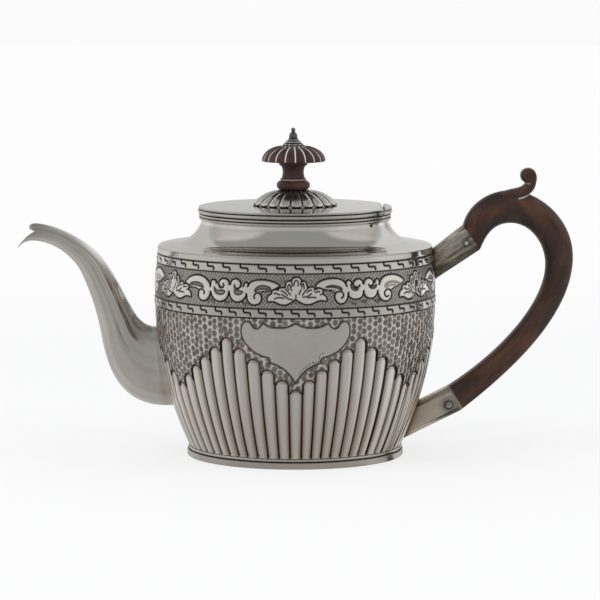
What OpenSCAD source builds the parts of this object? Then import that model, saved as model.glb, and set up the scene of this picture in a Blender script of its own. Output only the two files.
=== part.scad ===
// Round silver teapot with a hinged lid, a wooden knob and a pinned wooden handle.
// Millimetres, +Z up, the foot stands on z = 0, the spout points to -X.

/* [Body] */
// Greatest outer radius of the body
body_r = 68.5; // [66:0.5:72]
// Outer radius of the body just above the foot
base_r = 51.8; // [49:0.2:54]
// Outer radius of the body just under the shoulder
shoulder_r = 66.6; // [65:0.2:67.4]
// Height of the widest part of the body
belly_z = 75; // [70:1:80]
// Height of the outer edge of the shoulder
shoulder_z = 102.4; // [101.5:0.1:104]
// Thickness of the silver sheet
wall = 0.9; // [0.6:0.1:1.2]
// Radius of the rounded shoulder edge
shoulder_edge = 0.8; // [0.3:0.1:1.2]

/* [Foot] */
// Height of the plain band of the foot
foot_h = 3.2; // [2:0.2:5]
// Height of the bead above the band
bead_h = 1.8; // [1.4:0.1:2.6]
// How far the band stands out past the body
foot_out = 0.8; // [0.3:0.1:1.6]
// Width of the ring that meets the table
foot_w = 2; // [1.5:0.1:4]

/* [Neck] */
// Outer radius of the top of the neck
neck_r = 45.2; // [44:0.2:46.4]
// Height of the concave part of the neck above the shoulder plate
neck_h = 11.3; // [9:0.1:12.5]
// Width of the flat ledge of the shoulder, between its edge and the concave part
ledge_w = 6.4; // [3:0.1:9]
// How much the shoulder plate rises towards the neck
shoulder_rise = 1; // [0.4:0.1:2]
// Height of one reed of the moulded rim
reed_h = 1.5; // [1.2:0.1:2]
// How far the reeds stand out past the neck
reed_out = 1.4; // [1:0.1:2]

/* [Lid] */
// Height of the reed on the edge of the lid
lid_reed_h = 2; // [1.6:0.1:3]
// Thickness of the lid top at its edge
lid_t = 1.2; // [0.9:0.1:1.6]
// How far the lid stands out past the neck
lid_out = 2; // [1.6:0.1:2.4]
// How much the lid top rises to its middle
lid_rise = 0.5; // [0.2:0.1:1.5]
// Depth of the ring that drops into the neck
bezel_h = 6; // [3:0.5:9]
// Gap all round between the bezel and the neck
bezel_gap = 0.6; // [0.5:0.1:1]
// Gap between the closed lid and the rim
lid_gap = 0.15; // [0.1:0.05:0.3]

/* [Lid hinge] */
// Distance of the hinge axis from the middle of the pot
hinge_x = 41; // [40:0.1:41.6]
// Outer radius of the hinge tubes
knuckle_r = 1.6; // [1.5:0.1:1.8]
// How far the top of the hinge tubes lies below the edge of the lid top
hinge_drop = 0.2; // [0.1:0.05:0.4]
// Radius of the hinge wire
hinge_pin_r = 0.7; // [0.5:0.1:0.9]
// Half the length of the hinge
hinge_half = 22.4; // [20:0.1:23]
// Half the length of the middle tube
middle_half = 4.4; // [3:0.1:6]
// Length of each tube on the lid
lid_knuckle_l = 8.6; // [6:0.1:9]
// Length of the leaf that holds each tube of the lid
leaf_l = 3; // [2:0.2:6]
// Thickness of the leaf and of the web beside the tubes
leaf_t = 1.6; // [1.2:0.1:1.8]
// Gap between the tubes and the edges of the lid and of the fixed piece
slot_gap = 0.3; // [0.2:0.05:0.6]
// Gap between the lid and the fixed piece where they pass each other
swing_gap = 0.5; // [0.4:0.05:0.8]
// Gap between the ends of neighbouring tubes
knuckle_gap = 0.2; // [0.1:0.05:0.4]
// Clearance round the wire in the tubes of the lid
pin_clear = 0.05; // [0.03:0.01:0.08]

/* [Spout] */
// Distance of the tip of the beak from the middle of the pot
spout_reach = 135; // [125:1:145]
// Height of the top of the spout where it leaves the body
spout_top_z = 62.2; // [58:0.2:66]
// Height of the underside of the spout where it leaves the body
spout_low_z = 23.7; // [20:0.2:28]
// Height of the upper lip
lip_z = 112.6; // [108:0.2:116]
// Height of the tip of the beak
beak_z = 100.3; // [98:0.2:102]
// Half the width of the spout at the body
spout_root_w = 14; // [11:0.2:16]
// Half the width of the spout at the lip
spout_lip_w = 4.2; // [3.4:0.1:5.5]
// Radius of one strainer hole
strainer_r = 1.1; // [0.7:0.1:1.4]
// Distance between strainer holes
strainer_pitch = 3.6; // [3.2:0.1:4.5]

/* [Handle] */
// Distance of the back of the handle from the middle of the pot
handle_reach = 135; // [128:1:142]
// Height of the top of the handle where it leaves the upper socket
handle_top_z = 111.7; // [110:0.2:114]
// Thickness of the handle at its back, seen from the side
handle_t = 13.5; // [11:0.1:15]
// Half the thickness of the handle from side to side
handle_w = 6.6; // [6.1:0.1:8]
// Radius of the rolled end of the thumb piece
thumb_r = 3.8; // [3:0.1:4.4]
// Depth of the tenons in the sockets
tenon_l = 13; // [8:0.5:15]
// Gap between tenon and socket
tenon_gap = 0.1; // [0.05:0.05:0.2]

/* [Sockets] */
// How far the top of the upper socket stands out past the body
upper_socket_l = 13; // [10:0.1:16]
// How far the top of the lower socket stands out past the widest part of the body
lower_socket_l = 5.7; // [3:0.1:9]
// Half the width of the sockets from side to side
socket_w = 6; // [5.4:0.1:7]
// Width of the chamfers along the sockets
socket_chamfer = 2.4; // [1.5:0.1:3]
// Thickness of the socket walls
socket_wall = 1; // [0.8:0.1:1.4]
// Height of the top edge of the upper socket on the body
upper_socket_high = 100.2; // [98:0.2:100.6]
// Height of the bottom edge of the upper socket on the body
upper_socket_low = 85.8; // [82:0.2:90]
// Height of the top edge of the lower socket on the body
lower_socket_high = 25.7; // [23:0.2:30]
// Height of the bottom edge of the lower socket on the body
lower_socket_low = 7.8; // [7.4:0.2:12]
// Radius of both rivet shanks
rivet_r = 0.8; // [0.5:0.1:1.1]
// Radius of the heads of the upper rivet
upper_head_r = 1.2; // [1.1:0.1:2]
// Radius of the heads of the lower rivet
lower_head_r = 2.1; // [1.2:0.1:2.6]

/* [Knob] */
// Radius of the silver dome under the knob
calyx_r = 20.6; // [17:0.2:24]
// Height of the silver dome
calyx_h = 7.3; // [5:0.1:9]
// Radius of the seat for the wooden ring on the dome
calyx_top_r = 7.2; // [6.4:0.1:8]
// Radius of the wooden ring
ring_r = 8.15; // [7.4:0.05:10]
// Height of the wooden ring
ring_h = 4.6; // [3:0.1:6]
// Radius of the waist of the stem
stem_r = 5.1; // [4:0.1:5.6]
// Height of the stem with its flanges
stem_h = 9; // [7:0.1:12]
// Radius of the lower flange of the stem
low_flange_r = 6.3; // [6:0.1:7.2]
// Radius of the upper flange of the stem
high_flange_r = 6.9; // [6.4:0.1:8]
// Radius of the mushroom cap
cap_r = 15.5; // [12:0.1:18]
// Height of the mushroom cap
cap_h = 7.9; // [6:0.1:10]
// Radius of the rosette
rosette_r = 5.1; // [4.6:0.1:7]
// Height of the rosette
rosette_h = 3.1; // [2:0.1:4]
// Height of the acorn on top
acorn_h = 5.6; // [4.5:0.1:8]
// Radius of the acorn
acorn_r = 1.9; // [1.8:0.1:3]
// Radius of the rod that holds the knob
rod_r = 1.4; // [1:0.1:1.6]
// Clearance round the rod
rod_clear = 0.1; // [0.05:0.05:0.2]
// Across flats of the nut inside the lid
nut_af = 5.5; // [5:0.1:8]
// Thickness of the nut
nut_h = 2.4; // [1.6:0.1:4]
// Radius of the washer inside the lid
washer_r = 5; // [4.8:0.1:8]
// Thickness of the washer
washer_t = 0.8; // [0.5:0.1:1.5]

/* [Hidden] */
$fn = 96;
SILVER = [0.76, 0.76, 0.74];
DARK_SILVER = [0.45, 0.45, 0.44];
WOOD = [0.2, 0.12, 0.09];
eps = 0.02;

base_z = foot_h + bead_h;
neck_z = shoulder_z + shoulder_rise + neck_h;
rim_z = neck_z + 2 * reed_h;
lid_z = rim_z + lid_gap;
lid_top_z = lid_z + lid_reed_h + lid_t;
lid_r = neck_r + lid_out;
neck_bore_r = neck_r - wall;
bezel_r = neck_bore_r - bezel_gap;
hinge_z = lid_top_z - knuckle_r - hinge_drop;
chord_gap = knuckle_r + slot_gap;
relief_r = sqrt(chord_gap * chord_gap + pow(lid_top_z - hinge_z, 2)) + swing_gap;
// The concave part leaves the ledge level and ends at the top of the neck.
cove_x = shoulder_r - shoulder_edge - ledge_w;
cove_r = (pow(cove_x - neck_r, 2) + neck_h * neck_h) / (2 * neck_h);
cove_z = shoulder_z + shoulder_rise + cove_r;
calyx_z = lid_top_z + lid_rise;
ring_z = calyx_z + calyx_h;
stem_z = ring_z + ring_h;
cap_z = stem_z + stem_h;
rosette_z = cap_z + cap_h;
acorn_z = rosette_z + rosette_h;
nut_z = lid_top_z - lid_t - washer_t - nut_h;

// Outer radius of the body at height z: a curve swelling from the foot to the belly,
// then drawing in a little to the shoulder.
function body_radius(z) = z < belly_z
    ? body_r - (body_r - base_r) * pow((belly_z - z) / (belly_z - base_z), 1.95)
    : body_r - (body_r - shoulder_r) * pow((z - belly_z) / (shoulder_z - belly_z), 2);
function body_side(z0, z1, inset, steps) =
    [for (i = [0:steps]) let (z = z0 + (z1 - z0) * i / steps) [body_radius(z) - inset, z]];

// Cubic curve through p[0] and p[3] with the controls p[1] and p[2].
function bezier(p, t) = pow(1 - t, 3) * p[0] + 3 * t * pow(1 - t, 2) * p[1]
    + 3 * t * t * (1 - t) * p[2] + pow(t, 3) * p[3];
// Point at u = 0..3 on a chain of three cubic curves given by ten points.
function chain(p, u) = let (k = min(2, floor(u))) bezier([for (i = [0:3]) p[3 * k + i]], u - k);
function arc(cx, cz, r, a0, a1, steps) =
    [for (i = [0:steps]) let (a = a0 + (a1 - a0) * i / steps) [cx + r * cos(a), cz + r * sin(a)]];
function reversed(p) = [for (i = [len(p) - 1:-1:0]) p[i]];
function signed_pow(v, e) = sign(v) * pow(abs(v), e);

// One ring of a swept piece: its top and bottom points in the XZ plane, half its width,
// and how square it is (1 is an ellipse, smaller is squarer).
function section(high, low, half_w, e, sides) =
    [for (i = [0:sides - 1]) let (a = 360 * i / sides,
        m = (high + low) / 2 + (high - low) / 2 * signed_pow(cos(a), e))
        [m[0], half_w * signed_pow(sin(a), e), m[1]]];
// Octagonal ring with chamfered corners.
function octagon(high, low, half_w, chamfer) = let (
    m = (high + low) / 2, h = norm(high - low) / 2, d = (high - low) / (2 * h),
    q = [[h - chamfer, half_w], [-h + chamfer, half_w], [-h, half_w - chamfer],
        [-h, chamfer - half_w], [-h + chamfer, -half_w], [h - chamfer, -half_w],
        [h, chamfer - half_w], [h, half_w - chamfer]])
    [for (c = q) [m[0] + d[0] * c[0], c[1], m[1] + d[1] * c[0]]];

// Closed skin over a list of rings with the same number of points.
module skin(rings) {
    n = len(rings[0]);
    last = len(rings) - 1;
    polyhedron(
        points = [for (r = rings) each r],
        faces = concat(
            [[for (i = [0:n - 1]) i]],
            [for (k = [0:last - 1], i = [0:n - 1]) let (j = (i + 1) % n)
                each [[k * n + i, (k + 1) * n + i, (k + 1) * n + j],
                    [k * n + i, (k + 1) * n + j, k * n + j]]],
            [[for (i = [n - 1:-1:0]) last * n + i]]),
        convexity = 6);
}
// Hollow tube between an outer and an inner list of rings.
module pipe(outer, inner) {
    n = len(outer[0]);
    last = len(outer) - 1;
    m = n * (last + 1);
    polyhedron(
        points = concat([for (r = outer) each r], [for (r = inner) each r]),
        faces = concat(
            [for (k = [0:last - 1], i = [0:n - 1]) let (j = (i + 1) % n)
                each [[k * n + i, (k + 1) * n + i, (k + 1) * n + j],
                    [k * n + i, (k + 1) * n + j, k * n + j]]],
            [for (k = [0:last - 1], i = [0:n - 1]) let (j = (i + 1) % n)
                each [[m + k * n + i, m + (k + 1) * n + j, m + (k + 1) * n + i],
                    [m + k * n + i, m + k * n + j, m + (k + 1) * n + j]]],
            [for (i = [0:n - 1]) let (j = (i + 1) % n)
                each [[i, j, m + j], [i, m + j, m + i]]],
            [for (i = [0:n - 1]) let (j = (i + 1) % n, e = last * n)
                each [[e + i, m + e + i, m + e + j], [e + i, m + e + j, e + j]]]),
        convexity = 10);
}
module along_y(x, z, r, half_l) {
    translate([x, half_l, z]) rotate([90, 0, 0]) cylinder(r = r, h = 2 * half_l);
}

// ---- body ----
module body_wall() {
    top = shoulder_z - wall;
    color(SILVER) difference() {
        rotate_extrude() polygon(concat(
            body_side(base_z, top, 0, 22),
            reversed(body_side(base_z, top, wall, 22))));
        strainer_holes();
    }
}
module strainer_holes() {
    mid_z = (spout_top_z + spout_low_z) / 2;
    rows = 3;
    for (row = [-rows:rows], k = [-2:2]) {
        y = (k + (abs(row) % 2) / 2) * strainer_pitch;
        if (abs(y) < 2.3 * strainer_pitch)
            translate([-body_r - 5, y, mid_z + row * strainer_pitch * 0.866])
                rotate([0, 90, 0]) cylinder(r = strainer_r, h = 30);
    }
}
module base_plate() {
    color(SILVER) translate([0, 0, base_z - wall]) cylinder(r = base_r - wall, h = wall);
}
module foot_ring() {
    bead = bead_h / 2;
    out = base_r + foot_out;
    color(SILVER) rotate_extrude() polygon(concat(
        [[out - foot_w, 0], [out, 0], [out, foot_h]],
        arc(base_r - bead + 0.4, foot_h + bead, bead, -90, 90, 8),
        [[base_r - wall, base_z], [base_r - wall, base_z - wall], [out - foot_w, base_z - wall]]));
}
module shoulder_neck() {
    edge_x = shoulder_r - shoulder_edge;
    a0 = asin((cove_z - neck_z) / cove_r);
    a1 = asin((cove_z - neck_z) / (cove_r + wall));
    color(SILVER) rotate_extrude() polygon(concat(
        [[shoulder_r, shoulder_z - wall]],
        arc(edge_x, shoulder_z - shoulder_edge, shoulder_edge, 0, 90, 5),
        arc(cove_x, cove_z, cove_r, 270, 180 + a0, 14),
        arc(cove_x, cove_z, cove_r + wall, 180 + a1, 270, 14),
        [[shoulder_r - wall, shoulder_z - wall]]));
}
module neck_rim() {
    reed = reed_h / 2;
    x = neck_r + reed_out - reed;
    color(SILVER) difference() {
        rotate_extrude() polygon(concat(
            [[neck_bore_r, neck_z]],
            arc(x, neck_z + reed, reed, -90, 90, 8),
            arc(x, neck_z + 3 * reed, reed, -90, 90, 8),
            [[neck_bore_r, rim_z]]));
        along_y(hinge_x, hinge_z, knuckle_r + 0.25, hinge_half + 3);
    }
}

// ---- edge shared by the lid and the fixed piece behind its hinge ----
module edge_rim(bottom, bore) {
    reed = lid_reed_h / 2;
    rotate_extrude() polygon(concat(
        [[bore, bottom], [lid_r - reed, bottom]],
        arc(lid_r - reed, lid_z + reed, reed, -88, 90, 8),
        [[bore, lid_z + lid_reed_h]]));
}
module edge_top(bore, rise) {
    round_r = lid_t / 2;
    x = lid_r - 0.35 - round_r;
    z = lid_top_z - round_r;
    rotate_extrude() polygon(concat(
        [[bore, lid_top_z - lid_t]],
        arc(x, z, round_r, -90, 90, 8),
        rise > 0
            ? [[calyx_r + 8, lid_top_z + rise * 0.8], [calyx_r, lid_top_z + rise], [bore, lid_top_z + rise]]
            : [[bore, lid_top_z]]));
}
module lid_side() {
    translate([-2 * body_r, -2 * body_r, 0])
        cube([2 * body_r + hinge_x - chord_gap, 4 * body_r, 2 * lid_top_z]);
}
module hinge_block() {
    color(SILVER) difference() {
        intersection() {
            union() {
                edge_rim(rim_z, neck_bore_r - 3);
                edge_top(neck_bore_r - 3, 0);
            }
            translate([hinge_x + chord_gap, -body_r, 0]) cube([body_r, 2 * body_r, 2 * lid_top_z]);
        }
        along_y(hinge_x, hinge_z, relief_r, body_r);
    }
}
module knuckle(y0, y1, bore) {
    translate([hinge_x, y1, hinge_z]) rotate([90, 0, 0]) difference() {
        cylinder(r = knuckle_r, h = y1 - y0, $fn = 48);
        translate([0, 0, -1]) cylinder(r = bore, h = y1 - y0 + 2, $fn = 48);
    }
}
// Tube with the web that joins it to its leaf.
module hinge_tube(y0, y1, bore, web_from, web_to, web_low, web_high) {
    difference() {
        union() {
            knuckle(y0, y1, bore);
            translate([web_from, y0, web_low]) cube([web_to - web_from, y1 - y0, web_high - web_low]);
        }
        along_y(hinge_x, hinge_z, bore, hinge_half + 5);
    }
}
module hinge_knuckles_body() {
    block_x = hinge_x + chord_gap;
    side = middle_half + lid_knuckle_l + 2 * knuckle_gap;
    color(SILVER) {
        hinge_tube(-middle_half, middle_half, hinge_pin_r, hinge_x, block_x, rim_z, hinge_z);
        hinge_tube(side, hinge_half, hinge_pin_r, hinge_x, block_x, rim_z, hinge_z);
        hinge_tube(-hinge_half, -side, hinge_pin_r, hinge_x, block_x, rim_z, hinge_z);
    }
}
module hinge_pin() {
    color(SILVER) along_y(hinge_x, hinge_z, hinge_pin_r, hinge_half);
}

// ---- spout ----
// Underside of the spout, from the body to the tip of the beak.
spout_low = [[-body_radius(spout_low_z), spout_low_z], [-body_r - 14.5, spout_low_z - 1.7],
    [-body_r - 22.5, 38], [-body_r - 25.8, 58], [-body_r - 27.7, 68.5],
    [-body_r - 31, 79.5], [-body_r - 35.5, 88.8], [-body_r - 39, 96],
    [18 - spout_reach, lip_z - 8.8], [8 - spout_reach, lip_z - 8.5]];
// Top of the spout, from the body to the upper lip.
spout_high = [[-body_radius(spout_top_z), spout_top_z], [-body_r - 3, spout_top_z],
    [-body_r - 6.5, spout_top_z + 2.6], [-body_r - 8.5, 67.5], [-body_r - 12.5, 73],
    [-body_r - 18, 86.5], [-body_r - 24.5, 95], [-body_r - 30, 102],
    [23 - spout_reach, lip_z - 1.1], [9.5 - spout_reach, lip_z]];
// The beak carries both curves on beyond the lip.
beak_low = [[8 - spout_reach, lip_z - 8.5], [4.5 - spout_reach, lip_z - 8.4],
    [2.2 - spout_reach, beak_z + 2.6], [-spout_reach, beak_z]];
beak_high = [[9.5 - spout_reach, lip_z], [4.5 - spout_reach, lip_z + 0.4],
    [3.2 - spout_reach, beak_z + 7], [0.6 - spout_reach, beak_z + 2.6]];
function spout_low_at(u) = u <= 3 ? chain(spout_low, u) : bezier(beak_low, min(1, u - 3));
function spout_high_at(u) = u <= 3 ? chain(spout_high, u) : bezier(beak_high, min(1, u - 3));
function spout_w(u) = u <= 3
    ? spout_lip_w + (spout_root_w - spout_lip_w) * pow(1 - u / 3, 2.2)
    : spout_lip_w * (1 - 0.82 * pow(u - 3, 1.3));
// Where the wall ends at angle a from the top: a short upper lip, a notch, a long beak.
function spout_end(a) = cos(a) > 0 ? 3 + 0.28 * pow(cos(a), 2) : 3 + pow(cos(a), 2);
function spout_point(u, a, inset) = let (
    high = spout_high_at(u), low = spout_low_at(u), m = (high + low) / 2,
    h = norm(high - low) / 2, t = min(inset, 0.45 * h), k = (h - t) / h,
    w = spout_w(u) - min(inset, 0.45 * spout_w(u)),
    p = m + (high - low) / 2 * k * cos(a))
    [p[0], w * sin(a) * (1 - 0.22 * cos(a) * max(0, 1 - u)), p[1]];
// The first ring lies on the body.
function on_body(p) = [-sqrt(pow(body_radius(p[2]) + eps, 2) - p[1] * p[1]), p[1], p[2]];
spout_rings = 26;
spout_sides = 28;
function spout_ring(k, inset) = [for (i = [0:spout_sides - 1]) let (
    a = 360 * i / spout_sides, s = k / spout_rings, u = spout_end(a) * pow(s, 1.15),
    p = spout_point(u, a, inset))
    k == 0 ? on_body(p) : p];
module spout() {
    color(SILVER) pipe(
        [for (k = [0:spout_rings]) spout_ring(k, 0)],
        [for (k = [0:spout_rings]) spout_ring(k, wall)]);
}

// ---- handle, its sockets and rivets ----
upper_mouth_high = [body_r + upper_socket_l, handle_top_z];
upper_mouth_low = upper_mouth_high + [8.3, -11.5];
lower_mouth_high = [body_r + lower_socket_l, lower_socket_high + 7.1];
lower_mouth_low = lower_mouth_high + [6.8, -11.2];
// Outer curve of the handle, from the upper to the lower socket.
handle_out = [upper_mouth_high, upper_mouth_high + [2, 9.3],
    upper_mouth_high + [11.5, 16.8], upper_mouth_high + [22.5, 16.9],
    upper_mouth_high + [35.5, 17.2], [handle_reach, handle_top_z + 4], [handle_reach, 96],
    [handle_reach, 69.5], lower_mouth_low + [27.8, 21.4], lower_mouth_low];
// Inner curve of the handle.
handle_in = [upper_mouth_low, upper_mouth_low + [2.7, 6.3], upper_mouth_low + [6.2, 12.5],
    upper_mouth_low + [14.7, 12.5], upper_mouth_low + [24.2, 12.5],
    [handle_reach - handle_t, handle_top_z - 8.7], [handle_reach - handle_t, 92.5],
    [handle_reach - handle_t, 74.5], lower_mouth_high + [26.9, 17.5], lower_mouth_high];
// The wood is square where it meets the silver and oval in the hand.
function handle_square(u) = 0.42 + 0.5 * pow(min(1, 2.2 * min(u, 3 - u) / 1.5), 0.8);
function handle_half(u) = socket_w + (handle_w - socket_w) * min(1, 2 * min(u, 3 - u));

module mouth_bar(mouth, root, half_w, chamfer) {
    skin([octagon(mouth[0], mouth[1], half_w, chamfer), octagon(root[0], root[1], half_w, chamfer)]);
}
// Socket outline: its mouth, and a root well inside the body, along its two edges.
function edge_root(mouth, z) = let (p = [body_radius(z), z], d = (p - mouth) / norm(p - mouth)) p + d * 7;
upper_root = [edge_root(upper_mouth_high, upper_socket_high), edge_root(upper_mouth_low, upper_socket_low)];
lower_root = [edge_root(lower_mouth_high, lower_socket_high), edge_root(lower_mouth_low, lower_socket_low)];
function inset_pair(pair, d) = let (n = (pair[0] - pair[1]) / norm(pair[0] - pair[1]))
    [pair[0] - n * d, pair[1] + n * d];
function between(a, b, t) = [a[0] + (b[0] - a[0]) * t, a[1] + (b[1] - a[1]) * t];
function axis_length(mouth, root) = norm((mouth[0] + mouth[1] - root[0] - root[1]) / 2);
function axis_dir(mouth, root) = let (d = (mouth[0] + mouth[1] - root[0] - root[1]) / 2) d / norm(d);
module body_envelope() {
    rotate_extrude() polygon(concat(
        [[0, 0], [base_r + foot_out, 0], [base_r + foot_out, base_z]],
        body_side(base_z, shoulder_z, -eps, 22),
        [[0, shoulder_z]]));
}
module handle_socket(mouth, root, pin) {
    inner_mouth = inset_pair(mouth, socket_wall);
    depth = (tenon_l + 0.5) / axis_length(mouth, root);
    inner_end = between(inner_mouth, inset_pair(root, socket_wall), depth);
    d = axis_dir(mouth, root);
    color(DARK_SILVER) difference() {
        mouth_bar(mouth, root, socket_w, socket_chamfer);
        // blind hole for the tenon
        translate([d[0] * 0.01, 0, d[1] * 0.01])
            mouth_bar(inner_mouth, inner_end, socket_w - socket_wall, socket_chamfer - 0.4);
        along_y(pin[0], pin[1], rivet_r, socket_w + 1);
        body_envelope();
    }
}
upper_mouth = [upper_mouth_high, upper_mouth_low];
lower_mouth = [lower_mouth_high, lower_mouth_low];
lower_mouth_turned = reversed(lower_mouth);
lower_root_turned = reversed(lower_root);
function rivet_at(mouth, root, depth, off) = let (d = axis_dir(mouth, root), m = (mouth[0] + mouth[1]) / 2)
    [m[0] - d[0] * depth - d[1] * off, m[1] - d[1] * depth + d[0] * off];
upper_rivet = rivet_at(upper_mouth, upper_root, 3.8, -0.4);
lower_rivet = rivet_at(lower_mouth, lower_root, 4, -1.2);
module upper_socket() {
    handle_socket(upper_mouth, upper_root, upper_rivet);
}
module lower_socket() {
    handle_socket(lower_mouth, lower_root, lower_rivet);
}
handle_rings = 36;
function handle_ring(u) = section(chain(handle_out, u), chain(handle_in, u),
    handle_half(u), handle_square(u), 24);
// Ring of a tenon, square like the end of the handle, at the given depth in its socket.
function tenon_ring(mouth, root, depth) = let (d = socket_wall + tenon_gap + 0.05, a = inset_pair(mouth, d),
    b = between(a, inset_pair(root, d), depth / axis_length(mouth, root)))
    section(b[0], b[1], socket_w - d, 0.62, 24);
// Rolled thumb piece on top of the handle: a curl that ends in a round roll.
thumb_roll = upper_mouth_high + [31.5, 24.1];
thumb_leaf = [thumb_roll + [-15, -12.1], thumb_roll + [-12.5, -7.9], thumb_roll + [-6.4, -6.8],
    thumb_roll + [-3.8, -5.7], thumb_roll + [-2.4, -3.9],
    thumb_roll + [-0.7, -0.7] * thumb_r, thumb_roll, thumb_roll + [thumb_r, 0],
    thumb_roll + [3.4, -3.5], thumb_roll + [2.4, -6.1], thumb_roll + [0.8, -8.7], thumb_roll + [-3, -14.1]];
module thumb_piece() {
    translate([0, 4.6, 0]) rotate([90, 0, 0]) linear_extrude(9.2) {
        polygon(thumb_leaf);
        translate(thumb_roll) circle(r = thumb_r, $fn = 48);
    }
}
module handle() {
    color(WOOD) difference() {
        union() {
            skin(concat(
                [tenon_ring(lower_mouth_turned, lower_root_turned, tenon_l)],
                [tenon_ring(lower_mouth_turned, lower_root_turned, 0)],
                [for (k = [handle_rings:-1:0]) handle_ring(3 * k / handle_rings)],
                [tenon_ring(upper_mouth, upper_root, 0)],
                [tenon_ring(upper_mouth, upper_root, tenon_l)]));
            thumb_piece();
        }
        along_y(upper_rivet[0], upper_rivet[1], rivet_r, handle_w + 1);
        along_y(lower_rivet[0], lower_rivet[1], rivet_r, handle_w + 1);
    }
}
module rivet(at, head_r) {
    dome = head_r * 0.45;
    cap_r = (head_r * head_r + dome * dome) / (2 * dome);
    color(SILVER) {
        along_y(at[0], at[1], rivet_r, socket_w);
        for (side = [-1, 1]) translate([at[0], side * socket_w, at[1]]) rotate([-90 * side, 0, 0])
            rotate_extrude() polygon(concat([[0, 0]],
                arc(0, dome - cap_r, cap_r, asin((cap_r - dome) / cap_r), 90, 6)));
    }
}
module upper_handle_pin() {
    rivet(upper_rivet, upper_head_r);
}
module lower_handle_pin() {
    rivet(lower_rivet, lower_head_r);
}

// ---- lid ----
module rod_hole(r) {
    translate([0, 0, nut_z - 1]) cylinder(r = r, h = acorn_z - nut_z + 5, $fn = 48);
}
module lid_plate() {
    color(SILVER) difference() {
        intersection() {
            edge_top(0, lid_rise);
            lid_side();
        }
        rod_hole(rod_r + rod_clear);
    }
}
module lid_rim() {
    color(SILVER) intersection() {
        edge_rim(lid_z, bezel_r - wall);
        lid_side();
    }
}
module lid_bezel() {
    color(SILVER) difference() {
        translate([0, 0, lid_z - bezel_h]) difference() {
            cylinder(r = bezel_r, h = bezel_h);
            translate([0, 0, -1]) cylinder(r = bezel_r - wall, h = bezel_h + 2);
        }
        translate([hinge_x - chord_gap - leaf_l, -body_r, 0]) cube([body_r, 2 * body_r, 2 * lid_top_z]);
    }
}
module hinge_knuckles_lid() {
    plate_low = lid_top_z - lid_t;
    leaf_low = plate_low - leaf_t;
    web_high = plate_low + leaf_t / 8;
    edge = hinge_x - chord_gap;
    y0 = middle_half + knuckle_gap;
    color(SILVER) for (side = [-1, 1]) {
        a = side > 0 ? y0 : -y0 - lid_knuckle_l;
        hinge_tube(a, a + lid_knuckle_l, hinge_pin_r + pin_clear, edge, hinge_x, leaf_low, web_high);
        translate([edge - leaf_l, a, leaf_low]) cube([leaf_l + eps, lid_knuckle_l, plate_low - leaf_low]);
    }
}

// ---- knob ----
module turned(profile) {
    difference() {
        rotate_extrude() polygon(profile);
        rod_hole(rod_r + rod_clear);
    }
}
// Side of a dome; a greater flatness makes it more like a cone.
function dome(r0, z0, r1, z1, flatness) = [for (i = [0:12]) let (a = 7.5 * i)
    [r0 + (r1 - r0) * (1 - cos(a)), z0 + (z1 - z0) * pow(sin(a), flatness)]];
module finial_calyx() {
    inner = 1;
    color(SILVER) turned(concat(
        [[calyx_r - inner, calyx_z], [calyx_r, calyx_z]],
        dome(calyx_r, calyx_z + 0.5, calyx_top_r - 1, ring_z, 1.6),
        [[0, ring_z], [0, ring_z - inner]],
        reversed(dome(calyx_r - inner, calyx_z, calyx_top_r - 1, ring_z - inner, 1.6))));
}
module knob_ring() {
    h = ring_h / 2;
    color(WOOD) turned(concat([[0, ring_z]],
        [for (i = [0:10]) let (a = -90 + 18 * i) [ring_r - 2.2 + 2.2 * cos(a), ring_z + h + h * sin(a)]],
        [[0, stem_z]]));
}
module knob_stem() {
    foot = 1.1;
    head = 1.9;
    color(WOOD) turned(concat(
        [[0, stem_z], [low_flange_r, stem_z], [low_flange_r, stem_z + foot]],
        [for (i = [0:12]) let (a = 180 * i / 12, t = i / 12)
            [stem_r + (1 - sin(a)) * ((low_flange_r - 0.7) * (1 - t) + (high_flange_r - 1) * t - stem_r),
                stem_z + foot + (stem_h - foot - head) * t]],
        [[high_flange_r - 0.6, cap_z - head], [high_flange_r, cap_z - head + 0.6],
            [high_flange_r, cap_z], [0, cap_z]]));
}
module knob_cap() {
    color(WOOD) turned(concat(
        [[0, cap_z], [high_flange_r + 1, cap_z], [cap_r - 0.6, cap_z + 0.3]],
        dome(cap_r, cap_z + 0.9, rosette_r - 0.7, rosette_z, 1.05),
        [[0, rosette_z]]));
}
module finial_rosette() {
    color(DARK_SILVER) turned([[0, rosette_z], [rosette_r, rosette_z], [rosette_r, rosette_z + 0.9],
        [rosette_r - 0.9, rosette_z + 1.4], [rosette_r - 1.3, rosette_z + 2.3],
        [rosette_r - 2.4, acorn_z], [0, acorn_z]]);
}
module finial_bolt() {
    ball_r = 1.1;
    body_h = acorn_h - 2 * ball_r + 0.3;
    color(DARK_SILVER) {
        translate([0, 0, nut_z - 1]) cylinder(r = rod_r, h = acorn_z - nut_z + 1.2, $fn = 48);
        rotate_extrude($fn = 48) polygon(concat(
            [[0, acorn_z], [acorn_r + 0.1, acorn_z], [acorn_r + 0.1, acorn_z + 0.5]],
            [for (i = [0:6]) let (a = 15 * i)
                [0.7 + (acorn_r - 0.8) * cos(a), acorn_z + 0.9 + (body_h - 0.9) * sin(a)]],
            [[0, acorn_z + body_h]]));
        translate([0, 0, acorn_z + acorn_h - ball_r]) sphere(r = ball_r, $fn = 32);
    }
}
module finial_washer() {
    color(SILVER) translate([0, 0, nut_z + nut_h]) difference() {
        cylinder(r = washer_r, h = washer_t);
        translate([0, 0, -1]) cylinder(r = rod_r + rod_clear, h = washer_t + 2, $fn = 48);
    }
}
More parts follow.
